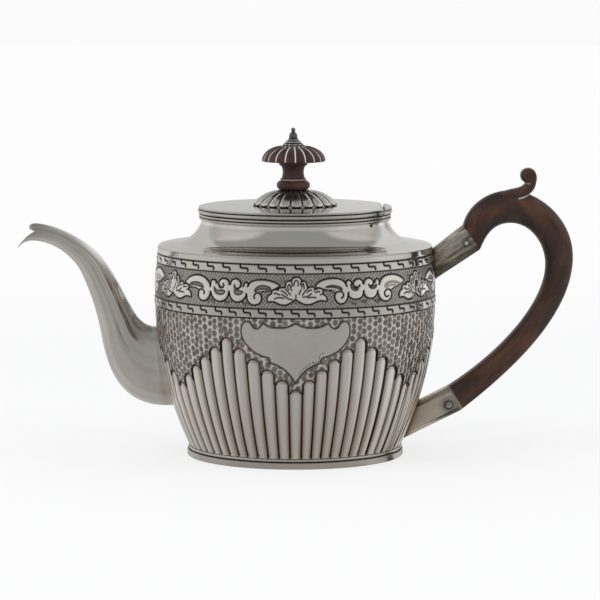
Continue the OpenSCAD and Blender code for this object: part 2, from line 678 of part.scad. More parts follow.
module finial_nut() {
    color(SILVER) translate([0, 0, nut_z]) difference() {
        cylinder(r = nut_af / 2 / cos(30), h = nut_h, $fn = 6);
        translate([0, 0, -1]) cylinder(r = rod_r + eps, h = nut_h + 2, $fn = 48);
    }
}

body_wall();
base_plate();
foot_ring();
shoulder_neck();
neck_rim();
hinge_block();
hinge_knuckles_body();
hinge_pin();
spout();
upper_socket();
lower_socket();
handle();
upper_handle_pin();
lower_handle_pin();
lid_plate();
lid_rim();
lid_bezel();
hinge_knuckles_lid();
finial_calyx();
knob_ring();
knob_stem();
knob_cap();
finial_rosette();
finial_bolt();
finial_washer();
finial_nut();
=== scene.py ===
"""Silver teapot with a chased body, a hinged lid, a wooden knob and a wooden handle.
Lengths below are in millimetres until a mesh is made; angles on the body are in degrees
from the front, positive to the right."""
import math

import bmesh
import bpy
import numpy as np
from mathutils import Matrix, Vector


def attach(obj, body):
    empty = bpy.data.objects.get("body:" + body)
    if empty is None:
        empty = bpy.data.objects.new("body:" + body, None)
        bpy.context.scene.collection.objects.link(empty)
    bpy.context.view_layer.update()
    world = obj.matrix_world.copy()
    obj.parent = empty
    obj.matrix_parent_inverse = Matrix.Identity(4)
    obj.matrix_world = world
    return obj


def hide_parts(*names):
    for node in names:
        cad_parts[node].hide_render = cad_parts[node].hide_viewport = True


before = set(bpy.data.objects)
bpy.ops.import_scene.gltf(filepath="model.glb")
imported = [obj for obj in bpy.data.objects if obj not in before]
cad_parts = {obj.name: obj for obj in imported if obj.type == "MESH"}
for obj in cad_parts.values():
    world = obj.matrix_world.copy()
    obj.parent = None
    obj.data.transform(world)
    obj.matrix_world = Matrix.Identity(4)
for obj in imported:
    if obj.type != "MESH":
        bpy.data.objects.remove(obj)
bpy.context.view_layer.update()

MM = 0.001
SEED = 11

# ---- sizes of the solids underneath -------------------------------------------------
BODY_R, BASE_R, SHOULDER_R = 68.5, 51.8, 66.6
BELLY_Z, BASE_Z, SHOULDER_Z = 75.0, 5.0, 102.4
FIELD_Z = 73.7  # top of the hammered field
WALL = 0.9  # thickness of the body's sheet
SKIN = 0.04  # how far every outer surface stays inside the solid's box
LEDGE_X = 65.8
COVE_X, COVE_R, COVE_Z, NECK_Z = 59.4, 14.57, 117.97, 114.7
HINGE_X, HINGE_Z, KNUCKLE_R = 41.0, 119.25, 1.6
SLIT = 0.1  # gap round a knuckle
BORE = 1.5  # radius of the hole for the knob's rod
CALYX_Z, CALYX_R, RING_Z, STEM_Z, CAP_Z, ROSETTE_Z = 121.55, 20.6, 128.85, 133.45, 142.45, 150.35


def body_radius(z):
    z = np.asarray(z, float)
    low = np.clip((BELLY_Z - z) / (BELLY_Z - BASE_Z), 0, None)
    high = np.clip((z - BELLY_Z) / (SHOULDER_Z - BELLY_Z), 0, None)
    return BODY_R - (BODY_R - BASE_R) * low**1.95 - (BODY_R - SHOULDER_R) * high**2


# ---- helpers ------------------------------------------------------------------------
def smoothstep(a, b, v):
    t = np.clip((np.asarray(v, float) - a) / (b - a), 0, 1)
    return t * t * (3 - 2 * t)


def between(a, b, c, d, v):
    """0 up to a, 1 from b to c, and 0 again from d."""
    return smoothstep(a, b, v) * (1 - smoothstep(c, d, v))


def bell(v, width, power=2):
    """1 where v is 0, fading over the width; a higher power has steeper sides."""
    return np.exp(-((v / width) ** power))


def clip(v):
    return np.clip(v, 0, 1)


def turn(n):
    """The angles of n even steps round a circle."""
    return np.radians(np.arange(n) * 360 / n)


def spline(points, per=6, closed=False):
    """A smooth line through the points."""
    p = np.array(points, float)
    if closed:
        q = np.vstack([p[-1], p, p[0], p[1]])
    elif len(p) > 2:
        q = np.vstack([2 * p[0] - p[1], p, 2 * p[-1] - p[-2]])
    else:
        return np.array([p[0] + (p[-1] - p[0]) * t for t in np.linspace(0, 1, per + 1)])
    out = []
    for a, b, c, d in zip(q[:-3], q[1:-2], q[2:-1], q[3:]):
        for t in np.arange(per) / per:
            bend = (2 * a - 5 * b + 4 * c - d) * t * t + (3 * b - a - 3 * c + d) * t**3
            out.append(0.5 * (2 * b + (c - a) * t + bend))
    return np.array(out if closed else out + [p[-1]])


def arc(cx, cz, r, a0, a1, steps):
    a = np.radians(np.linspace(a0, a1, steps + 1))
    return [(cx + r * math.cos(t), cz + r * math.sin(t)) for t in a]


def grid_faces(rows, cols):
    """Quads between rows of points that close round to their first point."""
    i, j = np.meshgrid(np.arange(rows - 1), np.arange(cols), indexing="ij")
    k = (j + 1) % cols
    return np.stack([i * cols + j, i * cols + k, (i + 1) * cols + k, (i + 1) * cols + j], -1).reshape(-1, 4)


def end_faces(count, sides):
    """The two faces that close a tube of count points."""
    return [list(range(sides - 1, -1, -1)), list(range(count - sides, count))]


def add_object(name, data):
    ob = bpy.data.objects.new(name, data)
    bpy.context.scene.collection.objects.link(ob)
    return ob


def finish_piece(mesh, name, body, nodes, slot, material, sharp=None):
    mesh.name = name
    mesh.polygons.foreach_set("use_smooth", [True] * len(mesh.polygons))
    if sharp:
        mesh.set_sharp_from_angle(angle=math.radians(sharp))
    ob = add_object(name, mesh)
    mesh.materials.append(material)
    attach(ob, body)
    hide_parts(*nodes)


def points_of(mesh):
    co = np.empty(len(mesh.vertices) * 3)
    mesh.vertices.foreach_get("co", co)
    return co.reshape(-1, 3) / MM


def set_values(mesh, key, values):
    """Stores one number or one vector for each point."""
    values = np.asarray(values, np.float32).reshape(len(mesh.vertices), -1)
    kind, field = ("FLOAT_VECTOR", "vector") if values.shape[1] == 3 else ("FLOAT", "value")
    layer = mesh.attributes.get(key) or mesh.attributes.new(key, kind, "POINT")
    layer.data.foreach_set(field, values.ravel())


def edit(mesh, change):
    """Runs change(bm) on the mesh."""
    bm = bmesh.new()
    bm.from_mesh(mesh)
    change(bm)
    bm.to_mesh(mesh)
    bm.free()
    return mesh


def weld_points(bm):
    bmesh.ops.remove_doubles(bm, verts=bm.verts, dist=2e-6)
    bmesh.ops.recalc_face_normals(bm, faces=bm.faces)


def raw_mesh(verts, faces, attrs=None, weld=True):
    mesh = bpy.data.meshes.new("piece")
    points = (np.asarray(verts, float).reshape(-1, 3) * MM).tolist()
    mesh.from_pydata(points, [], [tuple(map(int, f)) for f in faces])
    for key, values in (attrs or {}).items():
        set_values(mesh, key, values)
    return edit(mesh, weld_points) if weld else mesh


def turned(profile, steps=192, closed=True, relief=None, attrs=None, shift=0.0):
    """Mesh of revolution. relief(angle, r, z) moves its points; an attribute is a number or such a function."""
    p = np.array(profile, float)
    if closed:
        p = np.vstack([p, p[:1]])
    r, z = np.repeat(p[:, :1], steps, 1), np.repeat(p[:, 1:], steps, 1)
    ang = np.repeat(turn(steps)[None, :], len(p), 0)
    if relief:
        r, z = relief(ang, r, z)
    v = np.stack([r * np.sin(ang) + shift, -r * np.cos(ang), z], -1)
    values = {k: f(ang, r, z) if callable(f) else np.full(r.shape, f) for k, f in (attrs or {}).items()}
    return raw_mesh(v, grid_faces(len(p), steps), values)


def cut(mesh, cutter, op="DIFFERENCE"):
    """The mesh less the cutter, or only what both share."""
    ob, tool = add_object("work", mesh), add_object("cutter", cutter)
    boolean = ob.modifiers.new("cut", "BOOLEAN")
    boolean.operation, boolean.object, boolean.solver = op, tool, "EXACT"
    bpy.context.view_layer.update()
    out = bpy.data.meshes.new_from_object(ob.evaluated_get(bpy.context.evaluated_depsgraph_get()))
    bpy.data.objects.remove(ob)
    bpy.data.objects.remove(tool)
    return out


def slice_x(mesh, x, keep):
    """Keeps the part of a closed mesh below or above x and closes the cut."""
    def change(bm):
        res = bmesh.ops.bisect_plane(
            bm, geom=bm.verts[:] + bm.edges[:] + bm.faces[:], plane_co=(x * MM, 0, 0), plane_no=(1, 0, 0),
            clear_outer=keep == "below", clear_inner=keep == "above")
        edges = [e for e in res["geom_cut"] if isinstance(e, bmesh.types.BMEdge)]
        bmesh.ops.triangle_fill(bm, edges=edges, use_beauty=True)
        bmesh.ops.recalc_face_normals(bm, faces=bm.faces)
    return edit(mesh, change)


def prism_y(outline, y0, y1):
    """Solid with the given outline (x, z) and straight sides along y."""
    n = len(outline)
    v = np.vstack([np.stack([outline[:, 0], np.full(n, y), outline[:, 1]], -1) for y in (y0, y1)])
    return raw_mesh(v, grid_faces(2, n).tolist() + [list(range(n)), list(range(2 * n - 1, n - 1, -1))])


# ---- materials ----------------------------------------------------------------------
class Nodes:
    """Short calls that build the nodes of a material or a world."""

    def __init__(self, owner, output="OutputMaterial", coord="Object"):
        owner.use_nodes = True
        self.owner, self.tree = owner, owner.node_tree
        self.tree.nodes.clear()
        self.out = self.put(output).inputs[0]
        self.coord = self.put("TexCoord").outputs[coord]

    def put(self, kind, inputs=None, **settings):
        """Adds a node; an input is linked to a socket or set to a value, a colour without its alpha."""
        n = self.tree.nodes.new("ShaderNode" + kind)
        for k, v in settings.items():
            setattr(n, k, v)
        for k, v in (inputs or {}).items():
            if isinstance(v, bpy.types.NodeSocket):
                self.tree.links.new(v, n.inputs[k])
            else:
                n.inputs[k].default_value = (*v, 1) if n.inputs[k].type == "RGBA" else v
        return n

    def shader(self, kind, color, **more):
        return self.put(kind, {"Color": color, **more}).outputs[0]

    def choose(self, share, a, b):
        return self.put("MixShader", {0: share, 1: a, 2: b}).outputs[0]

    def finish(self, shader):
        self.tree.links.new(shader, self.out)
        return self.owner

    def noise(self, scale, detail=4.0, stretch=(1, 1, 1), rough=0.55, source=None):
        place = self.put("Mapping", {"Vector": source or self.coord, "Scale": stretch}).outputs[0]
        shape = {"Vector": place, "Scale": scale, "Detail": detail, "Roughness": rough}
        return self.put("TexNoise", shape).outputs["Fac"]

    def ramp(self, fac, stops):
        n = self.put("ValToRGB", {"Fac": fac})
        e = n.color_ramp.elements
        while len(e) < len(stops):
            e.new(0.5)
        for el, (p, c) in zip(e, stops):
            el.position = p
            el.color = (*c, 1) if isinstance(c, tuple) else (c, c, c, 1)
        return n.outputs["Color"]

    def mix(self, fac, a, b):
        return self.put("Mix", {0: fac, 6: a, 7: b}, data_type="RGBA").outputs[2]

    def math(self, op, a, b=0.0, clamp=False):
        return self.put("Math", {0: a, 1: b}, operation=op, use_clamp=clamp).outputs[0]

    def vector(self, op, a, b=(0, 0, 0)):
        return self.put("VectorMath", {0: a, 1: b}, operation=op).outputs["Value" if op == "LENGTH" else "Vector"]

    def split(self, vector):
        return self.put("SeparateXYZ", {0: vector}).outputs

    def attribute(self, name, kind="Fac"):
        return self.put("Attribute", attribute_name=name).outputs[kind]

    def bump(self, height, strength, distance, **normal):
        return self.put("Bump", {"Height": height, "Strength": strength, "Distance": distance, **normal}).outputs[0]


# The first tone is polish and painted highlight, the last oxide in hollows and in places painted shade.
POLISH_AND_HIGHLIGHT, STAIN, OXIDE_AND_SHADE = (0.93, 0.92, 0.90), (0.36, 0.26, 0.18), (0.008, 0.006, 0.005)


def silver(name, light=(0.66, 0.652, 0.63), warm=(0.54, 0.49, 0.42), rough=(0.16, 0.30), stain=0.35,
           inked=True, grain=0.05, wobble=0.10, brush=None, ring=None):
    """Silver; where it is inked, three attributes add polish with painted highlights, brown stain, and oxide with some
    painted shade.
    """
    n = Nodes(bpy.data.materials.new(name))
    color = n.mix(n.ramp(n.noise(32, 5), [(0.40, 0.0), (0.72, stain)]), light, warm)
    color = n.mix(n.ramp(n.noise(260, 4, rough=0.65), [(0.35, 0.10), (0.75, 0.0)]), color, (0.30, 0.27, 0.24))
    roughness = n.ramp(n.noise(90, 5), [(0.3, rough[0]), (0.7, rough[1])])
    if inked:
        for key, tone in (("polish_and_highlight", POLISH_AND_HIGHLIGHT), ("tan", STAIN), ("dark", OXIDE_AND_SHADE)):
            color = n.mix(n.attribute(key), color, tone)
        roughness = n.math("ADD", roughness, n.math("MULTIPLY", n.attribute("dark"), 0.35), clamp=True)
    scratch = n.noise(900, 3, stretch=(0.25, 0.25, 1.6), rough=0.7)
    if brush:  # tarnish rubbed along a bar: its slope, how much and how dark
        slope, share, tarnish = brush
        along = n.put("Mapping", {"Vector": n.coord, "Rotation": (0, math.radians(slope), 0)}).outputs[0]
        scratch = n.noise(420, 5, stretch=(0.16, 1, 1.3), rough=0.75, source=along)
        color = n.mix(n.ramp(scratch, [(0.40, share), (0.62, 0.0)]), color, tarnish)
    if ring:  # dirt round a rivet: place and size in millimetres
        x, z, size = (v * MM for v in ring)
        off = n.vector("MULTIPLY", n.vector("SUBTRACT", n.coord, (x, 0, z)), (1, 0, 1))
        away = n.math("MULTIPLY", n.vector("LENGTH", off), 0.25 / size)
        color = n.mix(n.ramp(away, [(0.22, 0.9), (0.34, 0.35), (0.60, 0.0)]), color, OXIDE_AND_SHADE)
    normal = n.bump(scratch, grain, 0.00012)
    normal = n.bump(n.noise(70, 3), wobble, 0.0004, Normal=normal)
    look = {"Base Color": color, "Metallic": 1.0, "Roughness": roughness, "Normal": normal}
    return n.finish(n.put("BsdfPrincipled", look).outputs[0])


def wood(name, deep, mid, red, residue_and_highlight, middle_sheen=None, crown=None):
    """Dark polished wood; the attribute grain holds a place along, across and round the piece."""
    n = Nodes(bpy.data.materials.new(name))
    place = n.attribute("grain", "Vector")
    long = n.noise(1.0, 4, stretch=(0.03, 0.30, 0.30), rough=0.5, source=place)
    pores = n.noise(1.0, 4, stretch=(0.22, 2.6, 2.6), rough=0.7, source=place)
    broad = n.noise(1.0, 3, stretch=(0.05, 0.12, 0.12), source=place)
    color = n.mix(n.ramp(long, [(0.30, 0.0), (0.72, 1.0)]), deep, mid)
    # A painted sheen: lighter along the middle of each side face.
    if middle_sheen:
        across = n.math("MULTIPLY", n.math("ABSOLUTE", n.split(place)[1]), 0.125)
        color = n.mix(n.ramp(across, [(0.1, 0.55), (0.8, 0.0)]), color, middle_sheen)
    color = n.mix(n.ramp(broad, [(0.45, 0.0), (0.72, 0.75)]), color, red)
    color = n.mix(n.ramp(pores, [(0.52, 0.0), (0.66, 0.6)]), color, tuple(0.45 * c for c in deep))
    if crown:  # darker from one height to another, in millimetres
        low, high = crown
        level = n.math("MULTIPLY", n.math("SUBTRACT", n.split(n.coord)[2], low * MM), 1 / ((high - low) * MM))
        uneven = n.math("ADD", level, n.math("MULTIPLY", n.math("SUBTRACT", long, 0.5), 1.2))
        color = n.mix(n.ramp(uneven, [(0.0, 0.0), (1.0, 0.72)]), color, tuple(0.5 * c for c in deep))
    # The attribute dark marks pale residue, and in places painted highlights.
    color = n.mix(n.attribute("dark"), color, residue_and_highlight)
    look = {"Base Color": color, "Roughness": n.ramp(pores, [(0.3, 0.34), (0.75, 0.50)]),
            "Normal": n.bump(pores, 0.22, 0.0002), "Specular IOR Level": 0.35,
            "Coat Weight": 0.10, "Coat Roughness": 0.25}
    return n.finish(n.put("BsdfPrincipled", look).outputs[0])


chased = silver("silver_chased", rough=(0.06, 0.13), stain=0.40, wobble=0.05)
polished = silver("silver_polished", rough=(0.10, 0.22), stain=0.22, inked=False)
plain = silver("silver_plain")
lid_silver = silver("silver_lid", light=(0.66, 0.662, 0.66), warm=(0.58, 0.56, 0.53), rough=(0.07, 0.13), stain=0.10,
                    grain=0.02, wobble=0.03)
neck_silver = silver("silver_neck", rough=(0.05, 0.11), stain=0.25, grain=0.02, wobble=0.035)
worn = silver("silver_worn", light=(0.46, 0.435, 0.40), warm=(0.30, 0.25, 0.19), rough=(0.22, 0.4), stain=0.7,
              grain=0.16)
blackened = silver("silver_blackened", light=(0.30, 0.31, 0.34), warm=(0.26, 0.25, 0.25), rough=(0.14, 0.26),
                   stain=0.5)
inner = silver("silver_inside", light=(0.52, 0.50, 0.47), warm=(0.36, 0.31, 0.25), rough=(0.3, 0.5), stain=0.8,
               inked=False)
KNOB_TONES = (0.030, 0.014, 0.013), (0.070, 0.029, 0.025), (0.12, 0.048, 0.036), (0.78, 0.74, 0.70)
knob_wood = wood("wood_knob", *KNOB_TONES)
cap_wood = wood("wood_cap", *KNOB_TONES, crown=(144.5, 149.5))
handle_wood = wood("wood_handle", (0.013, 0.007, 0.006), (0.034, 0.017, 0.012), (0.125, 0.049, 0.021),
                   (0.62, 0.56, 0.50), middle_sheen=(0.052, 0.024, 0.014))

# ---- chased ornament of the body ----------------------------------------------------
K = 1.187  # millimetres of girth in one degree on the upper body
FAR = 9.0  # a distance that counts as nowhere near


class Sheet:
    """The body's surface unrolled: columns go round, rows go up."""

    def __init__(self, z0, z1, rows, cols):
        self.cols, self.step = cols, 360 * K / cols
        self.z = np.linspace(z0, z1, rows)
        self.theta = np.arange(cols) * 360 / cols
        self.shape = (rows, cols)

    def window(self, p, reach):
        """Index of the part of the sheet round the points p, and its places in millimetres."""
        (x0, z0), (x1, z1) = p.min(0) - reach, p.max(0) + reach
        c = np.arange(math.floor(x0 / self.step), math.ceil(x1 / self.step) + 1)
        r = np.nonzero((self.z >= z0) & (self.z <= z1))[0]
        return np.ix_(r, c % self.cols), *np.meshgrid(c * self.step, self.z[r])

    def line(self, field, points, width, reach=None):
        """Lowers the field to the distance from a line through the points (degrees, mm), in widths of the line."""
        p = np.array(points, float) * (K, 1)
        place, x, z = self.window(p, reach or 3 * width)
        best = np.full(x.shape, 1e9)
        for a, b in zip(p[:-1], p[1:]):
            d = b - a
            t = clip(((x - a[0]) * d[0] + (z - a[1]) * d[1]) / max(d @ d, 1e-12))
            np.minimum(best, (x - a[0] - t * d[0]) ** 2 + (z - a[1] - t * d[1]) ** 2, out=best)
        field[place] = np.minimum(field[place], np.sqrt(best) / width)

    def fill(self, field, points, reach=1.2):
        """Raises the field to the distance inside a closed outline; outside it the distance is negative."""
        p = np.vstack([points, points[:1]])
        away = np.full(self.shape, np.inf)
        self.line(away, p, 1, reach)
        p = p * (K, 1)
        place, x, z = self.window(p, reach)
        inside = np.zeros(x.shape, bool)
        for a, b in zip(p[:-1], p[1:]):
            if a[1] != b[1]:
                hit = (a[1] > z) != (b[1] > z)
                inside ^= hit & (x < (b[0] - a[0]) * (z - a[1]) / (b[1] - a[1]) + a[0])
        field[place] = np.maximum(field[place], np.where(inside, away[place], -away[place]))


# One repeat of the frieze has two big C scrolls with a pair of small waves between them; each
# repeat seen in front is drawn between two palmettes.
PALMETTE_AT = [-58.6, 0.3, 57.8]
RIGHT = {
    "arch1": [(8, 88.9), (8.6, 90), (9.6, 90.9), (11, 91.7), (12.8, 92.25), (14.8, 92.45), (16.8, 92.3), (18.5, 91.7),
        (19.8, 90.7), (20.5, 89.6), (20.9, 88.5)],
    "leaf1": [(20.5, 89.9), (20.9, 90.9), (21.6, 91.4), (22.5, 91), (23, 90.2), (23.2, 89.2)],
    "wave1": [(26.5, 88.9), (26.1, 88.1), (25.2, 87.8), (24.2, 88.2), (23.7, 89.3), (23.9, 90.4), (24.7, 91.3),
        (25.9, 91.75), (27.1, 91.4), (27.9, 90.5), (28.25, 89.3)],
    "wave2": [(30.5, 88.8), (31.1, 88.1), (32, 88.15), (32.8, 88.9), (33, 90), (32.3, 91.2), (31.1, 91.8),
        (29.8, 91.65), (28.8, 90.8), (28.35, 89.3)],
    "leaf2": [(33.5, 89.6), (33.9, 90.8), (34.8, 91.4), (35.6, 90.9), (35.9, 89.9), (35.8, 88.9)],
    "arch2": [(35.7, 88.6), (36.2, 90), (37, 91.2), (38.4, 92.2), (40.5, 92.7), (43, 92.8), (45.5, 92.3),
        (47.5, 91.5), (49, 90.5), (50, 89.3)],
    "curl1": [(18.5, 83.1), (19.2, 83.7), (19.4, 84.8), (18.7, 85.9), (17.4, 86.2), (16.3, 85.6), (15.8, 84.3),
        (16, 82.6), (17, 80.9), (18.5, 80.2), (20, 80.9), (21, 82.4), (21.45, 84), (21.55, 85.6)],
    "low1": [(21.55, 85.4), (21.6, 84.2), (22.2, 83.1), (23.3, 82.4), (24.8, 82.15), (26.4, 82.5), (27.5, 83.3),
        (28.1, 84.5), (28.25, 86)],
    "low2": [(28.25, 86), (28.5, 84.5), (29.2, 83.2), (30.4, 82.4), (31.8, 82.2), (33.2, 82.6), (34.2, 83.6),
        (34.7, 84.6), (34.85, 85.6)],
    "curl2": [(34.85, 85.6), (35, 84.3), (35.5, 82.8), (36.4, 81.5), (37.8, 80.6), (39.6, 80.4), (41.1, 81.1),
        (42, 82.5), (42, 84.3), (41.3, 85.5), (40.1, 86), (38.9, 85.6), (38.2, 84.5), (38.4, 83.2), (39.3, 82.5),
        (40.3, 82.9)],
    "rim1": [(15.9, 85.6), (14.2, 86.6), (12, 87.2), (10, 87.8), (8.4, 88.4)],
    "rim2": [(42, 85.4), (43.6, 86.4), (45.8, 87.1), (48, 88), (49.6, 88.9)],
    "fine": [[(11.6, 86.4), (13, 86.9), (14.6, 87.1), (16.3, 86.7)], [(39.3, 86.7), (40.5, 87.4), (42.5, 87.8),
        (44.6, 87.6)], [(12.6, 88.2), (14.2, 88.4), (16, 88)], [(17.8, 87.4), (18.8, 86.6)]],
    "lens": [[(11.6, 88.1), (12.8, 89.1), (14.5, 89.45), (16.3, 89.3), (17.9, 88.7), (19, 87.7), (19.1, 86.5),
        (18.2, 86.5), (17, 87.2), (15, 87.9), (13, 87.9)], [(22.2, 89.4), (22.9, 89.4), (23.4, 88.5), (24.2, 87.9),
        (25.3, 87.6), (26.1, 87.8), (26, 86.8), (25.3, 86.1), (24.2, 85.9), (23.1, 86.5), (22.4, 87.8)], [(30.6, 88),
        (31, 87.1), (31.8, 86.5), (33, 86.4), (34, 87), (34.6, 88.2), (34.5, 88.9), (33.7, 88.8), (32.8, 88.1),
        (31.6, 87.9)]],
    "pale_lens": [[(38.2, 86.7), (38.2, 88.2), (39.2, 89.4), (41.3, 90), (43.8, 89.9), (46, 89.2), (47.3, 88.2),
        (45.5, 88), (43.4, 88.5), (41.4, 88.4), (39.8, 87.6)]],
    "fringe": [(22.6, 80.6), (24, 79.9), (27.2, 80.9), (28.4, 80.4), (29, 81.1), (33.3, 80.9), (34.5, 80.2),
        (35.3, 81)],
}
LEFT = {
    "arch1": [(-50.4, 88.5), (-49.4, 89.7), (-48, 90.9), (-46.5, 91.7), (-44.8, 92.3), (-42.8, 92.5), (-40.8, 92.3),
        (-38.8, 91.5), (-37.2, 90.2), (-36.3, 89), (-35.9, 87.6)],
    "leaf1": [(-35.9, 88.6), (-35.8, 90), (-35.2, 90.8), (-34.3, 90.9), (-33.4, 90.4), (-33, 89.3)],
    "wave1": [(-29.8, 89.3), (-29.5, 88.5), (-30, 87.6), (-31, 87.3), (-31.8, 88.2), (-32, 89.6), (-31.4, 90.9),
        (-30, 91.7), (-28.4, 91.5), (-27.4, 90.6), (-27, 89)],
    "wave2": [(-24.6, 89), (-24.7, 88), (-24.1, 87.3), (-23, 87.4), (-22.2, 88.3), (-22, 89.6), (-22.5, 91),
        (-23.6, 91.8), (-25, 91.7), (-26.1, 90.9), (-26.7, 89)],
    "leaf2": [(-20.9, 88.4), (-20.6, 89.7), (-20, 90.35), (-19.3, 90.2), (-18.9, 89.4), (-19, 88.5)],
    "arch2": [(-19.1, 88.5), (-18.3, 90), (-16.8, 91.1), (-15, 91.65), (-12.8, 91.8), (-10.8, 91.6), (-8.8, 91),
        (-7, 90.1), (-5.9, 89.2)],
    "curl1": [(-38.9, 84), (-39, 85.2), (-40.1, 86), (-41.4, 85.6), (-42.2, 84.1), (-41.9, 82), (-40.5, 80.7),
        (-38.5, 80.7), (-36.9, 82), (-36.1, 83.6), (-35.8, 85.2)],
    "low1": [(-35.8, 85), (-35.2, 83.4), (-34, 81.8), (-32.4, 80.9), (-30.8, 80.8), (-29.2, 81.4), (-28, 82.7),
        (-27.4, 84.2), (-27.2, 85.8)],
    "low2": [(-27.2, 85.8), (-26.7, 83.6), (-25.7, 81.9), (-24.4, 81), (-23, 80.9), (-21.6, 81.5), (-20.5, 82.6),
        (-19.8, 83.8), (-19.6, 85)],
    "curl2": [(-19.6, 85), (-19.3, 82.5), (-18.5, 80.9), (-17.2, 79.9), (-15.6, 79.9), (-14.2, 80.6), (-13.4, 82),
        (-13.3, 83.6), (-13.8, 85), (-14.8, 85.6), (-15.8, 85.2), (-16.3, 84), (-16.1, 83)],
    "rim1": [(-41.9, 85.6), (-43.6, 86.3), (-46, 86.6), (-48, 87.2), (-50, 88)],
    "rim2": [(-13.6, 85.4), (-12.6, 86.3), (-11, 86.6), (-9, 87), (-7.4, 88), (-6.2, 88.8)],
    "fine": [[(-47.2, 86), (-45.4, 86.4), (-43.4, 86.3), (-42, 85.9)], [(-15, 86), (-13.4, 86.5), (-11.6, 86.5)]],
    "lens": [[(-47.6, 87.4), (-47, 88.4), (-45.8, 89.1), (-44, 89.5), (-42, 89.4), (-40.3, 88.7), (-39.3, 87.6),
        (-39.2, 86.5), (-40.4, 86.5), (-42, 87), (-45, 87.3)], [(-34.2, 88), (-33.4, 87.3), (-32.5, 86.5),
        (-31.4, 86.4), (-30.4, 86.7), (-29.4, 86.6), (-28.8, 86), (-28.9, 84.9), (-29.7, 84), (-31.1, 83.7),
        (-32.7, 84), (-33.8, 85.2), (-34.3, 86.7)], [(-24.9, 87), (-25, 85.6), (-24.4, 84.5), (-23.2, 84),
        (-21.9, 84.3), (-21, 85.2), (-20.8, 86.1), (-21.9, 86.6), (-23.2, 86.9)], [(-16.4, 86), (-16.3, 87.2),
        (-15.4, 88.5), (-14, 89.3), (-12.4, 89.5), (-10.8, 89.1), (-9.6, 88.4), (-9.4, 87.4), (-10.4, 87),
        (-12, 87.1), (-13.5, 87.1), (-14.7, 86.7), (-15.6, 85.9)]],
    "pale_lens": [],
    "fringe": [(-37.2, 80.4), (-35.6, 81.2), (-34.4, 80.1), (-29.3, 80.7), (-28, 80.2), (-26.4, 80.9), (-21.4, 80.6),
        (-20.2, 79.9), (-19, 80.5)],
}
# The palmette is drawn with its middle at 0.3 degrees.
PALMETTE = [(0.3, 82.5), (1.2, 81.9), (2, 81.3), (3.2, 80.6), (4.5, 80.25), (6, 80.35), (7.3, 80.9), (8.6, 81.6),
    (10, 82), (11.4, 81.9), (12.5, 81.7), (12.75, 82.7), (12.3, 84), (11.5, 84.8), (10.9, 85.2), (11.15, 86.1),
    (11, 87), (10.3, 87.8), (9.3, 88.05), (8.3, 87.6), (7.7, 87.9), (7.2, 88.6), (6, 88.6), (5, 88.3), (4.75, 89.2),
    (4.5, 90.2), (4, 91.1), (3.4, 91.5), (2.7, 91.1), (2.4, 92), (1.8, 92.9), (1.1, 93.25), (0.4, 93.15), (-0.3, 93),
    (-1.1, 92.4), (-1.5, 91.4), (-2.5, 91.5), (-3.4, 90.9), (-3.85, 90), (-3.95, 88.4), (-5.2, 88.35), (-6.5, 88),
    (-6.9, 87.3), (-7.9, 87.45), (-8.8, 87), (-9.3, 86.2), (-9.5, 85.2), (-10.3, 84.7), (-10.9, 83.9), (-11.2, 82.9),
    (-10.7, 81.4), (-9.4, 81.6), (-8, 81.4), (-7, 80.8), (-6, 80.3), (-4.5, 80), (-3, 80.3), (-2, 80.9), (-1, 81.6),
    (-0.3, 82.3)]
# Lines inside the palmette, and dots (place and size) in and round it.
VEINS = [[(-0.45, 89.3), (-0.3, 90.8), (0.1, 91.5), (0.6, 91.6), (1.1, 91.2), (1.25, 90.2), (1.1, 89.2)],
    [(2.5, 91.6), (2.3, 90.6), (2.1, 89.6)], [(-1.5, 91.3), (-1.2, 90.2), (-1.1, 89.2)], [(2.6, 88.4), (2.8, 89.7),
    (3.15, 90.2), (3.4, 89.4), (3.55, 88.4), (3.5, 87.8)], [(2.4, 87.4), (1.9, 86.3), (1.5, 85.2)], [(5.4, 88.2),
    (4.7, 87.6), (3.9, 86.5), (3.3, 85.5), (2.9, 84.8)], [(6.5, 87.3), (5.6, 86.9), (4.7, 86.2)], [(7.6, 88.2),
    (7.8, 87.5), (7.5, 86.8)], [(9.7, 86.35), (8.8, 86.4), (7.9, 86)], [(10.6, 85.3), (10, 84.9)], [(6.4, 85.5),
    (5.8, 84.9), (5, 84.3), (4, 84), (3.1, 83.9)], [(8.3, 83.5), (7.2, 83.75), (6, 83.8), (5, 83.5)], [(0.3, 84.9),
    (0.35, 84), (0.3, 83)], [(-1.5, 88.6), (-2, 89.3), (-2.4, 89.8), (-2.75, 89.2), (-2.9, 88.2), (-2.5, 87.2)],
    [(-1.9, 88.4), (-1.3, 86.9)], [(-3.7, 87.6), (-3.2, 86.8), (-2.5, 85.9), (-1.8, 85)], [(-6.5, 87.9),
    (-6.5, 87.1)], [(-5.4, 86.9), (-4.7, 86.5), (-3.9, 85.7), (-3, 84.5)], [(-8.3, 85.6), (-7.5, 85.6), (-6.9, 85.3),
    (-6, 84.9)], [(-5.2, 85.2), (-4.5, 84.4), (-3.5, 83.7), (-2.3, 83), (-1, 82.6)], [(-8.1, 83), (-7, 83.5),
    (-5.8, 83.6), (-4.5, 83.3)]]
BLOBS = [(3.1, 85.2, 0.38), (6.3, 87.25, 0.35), (9.5, 86.3, 0.42), (-5.3, 86.8, 0.42), (-8.2, 85.6, 0.38),
    (-1.9, 85.1, 0.3), (0.35, 81.1, 0.5), (6.6, 91.3, 0.4), (5.4, 90.8, 0.3), (6.3, 89.8, 0.32), (-4.2, 91.3, 0.4),
    (-5.3, 91.7, 0.35), (-5, 90.4, 0.3)]
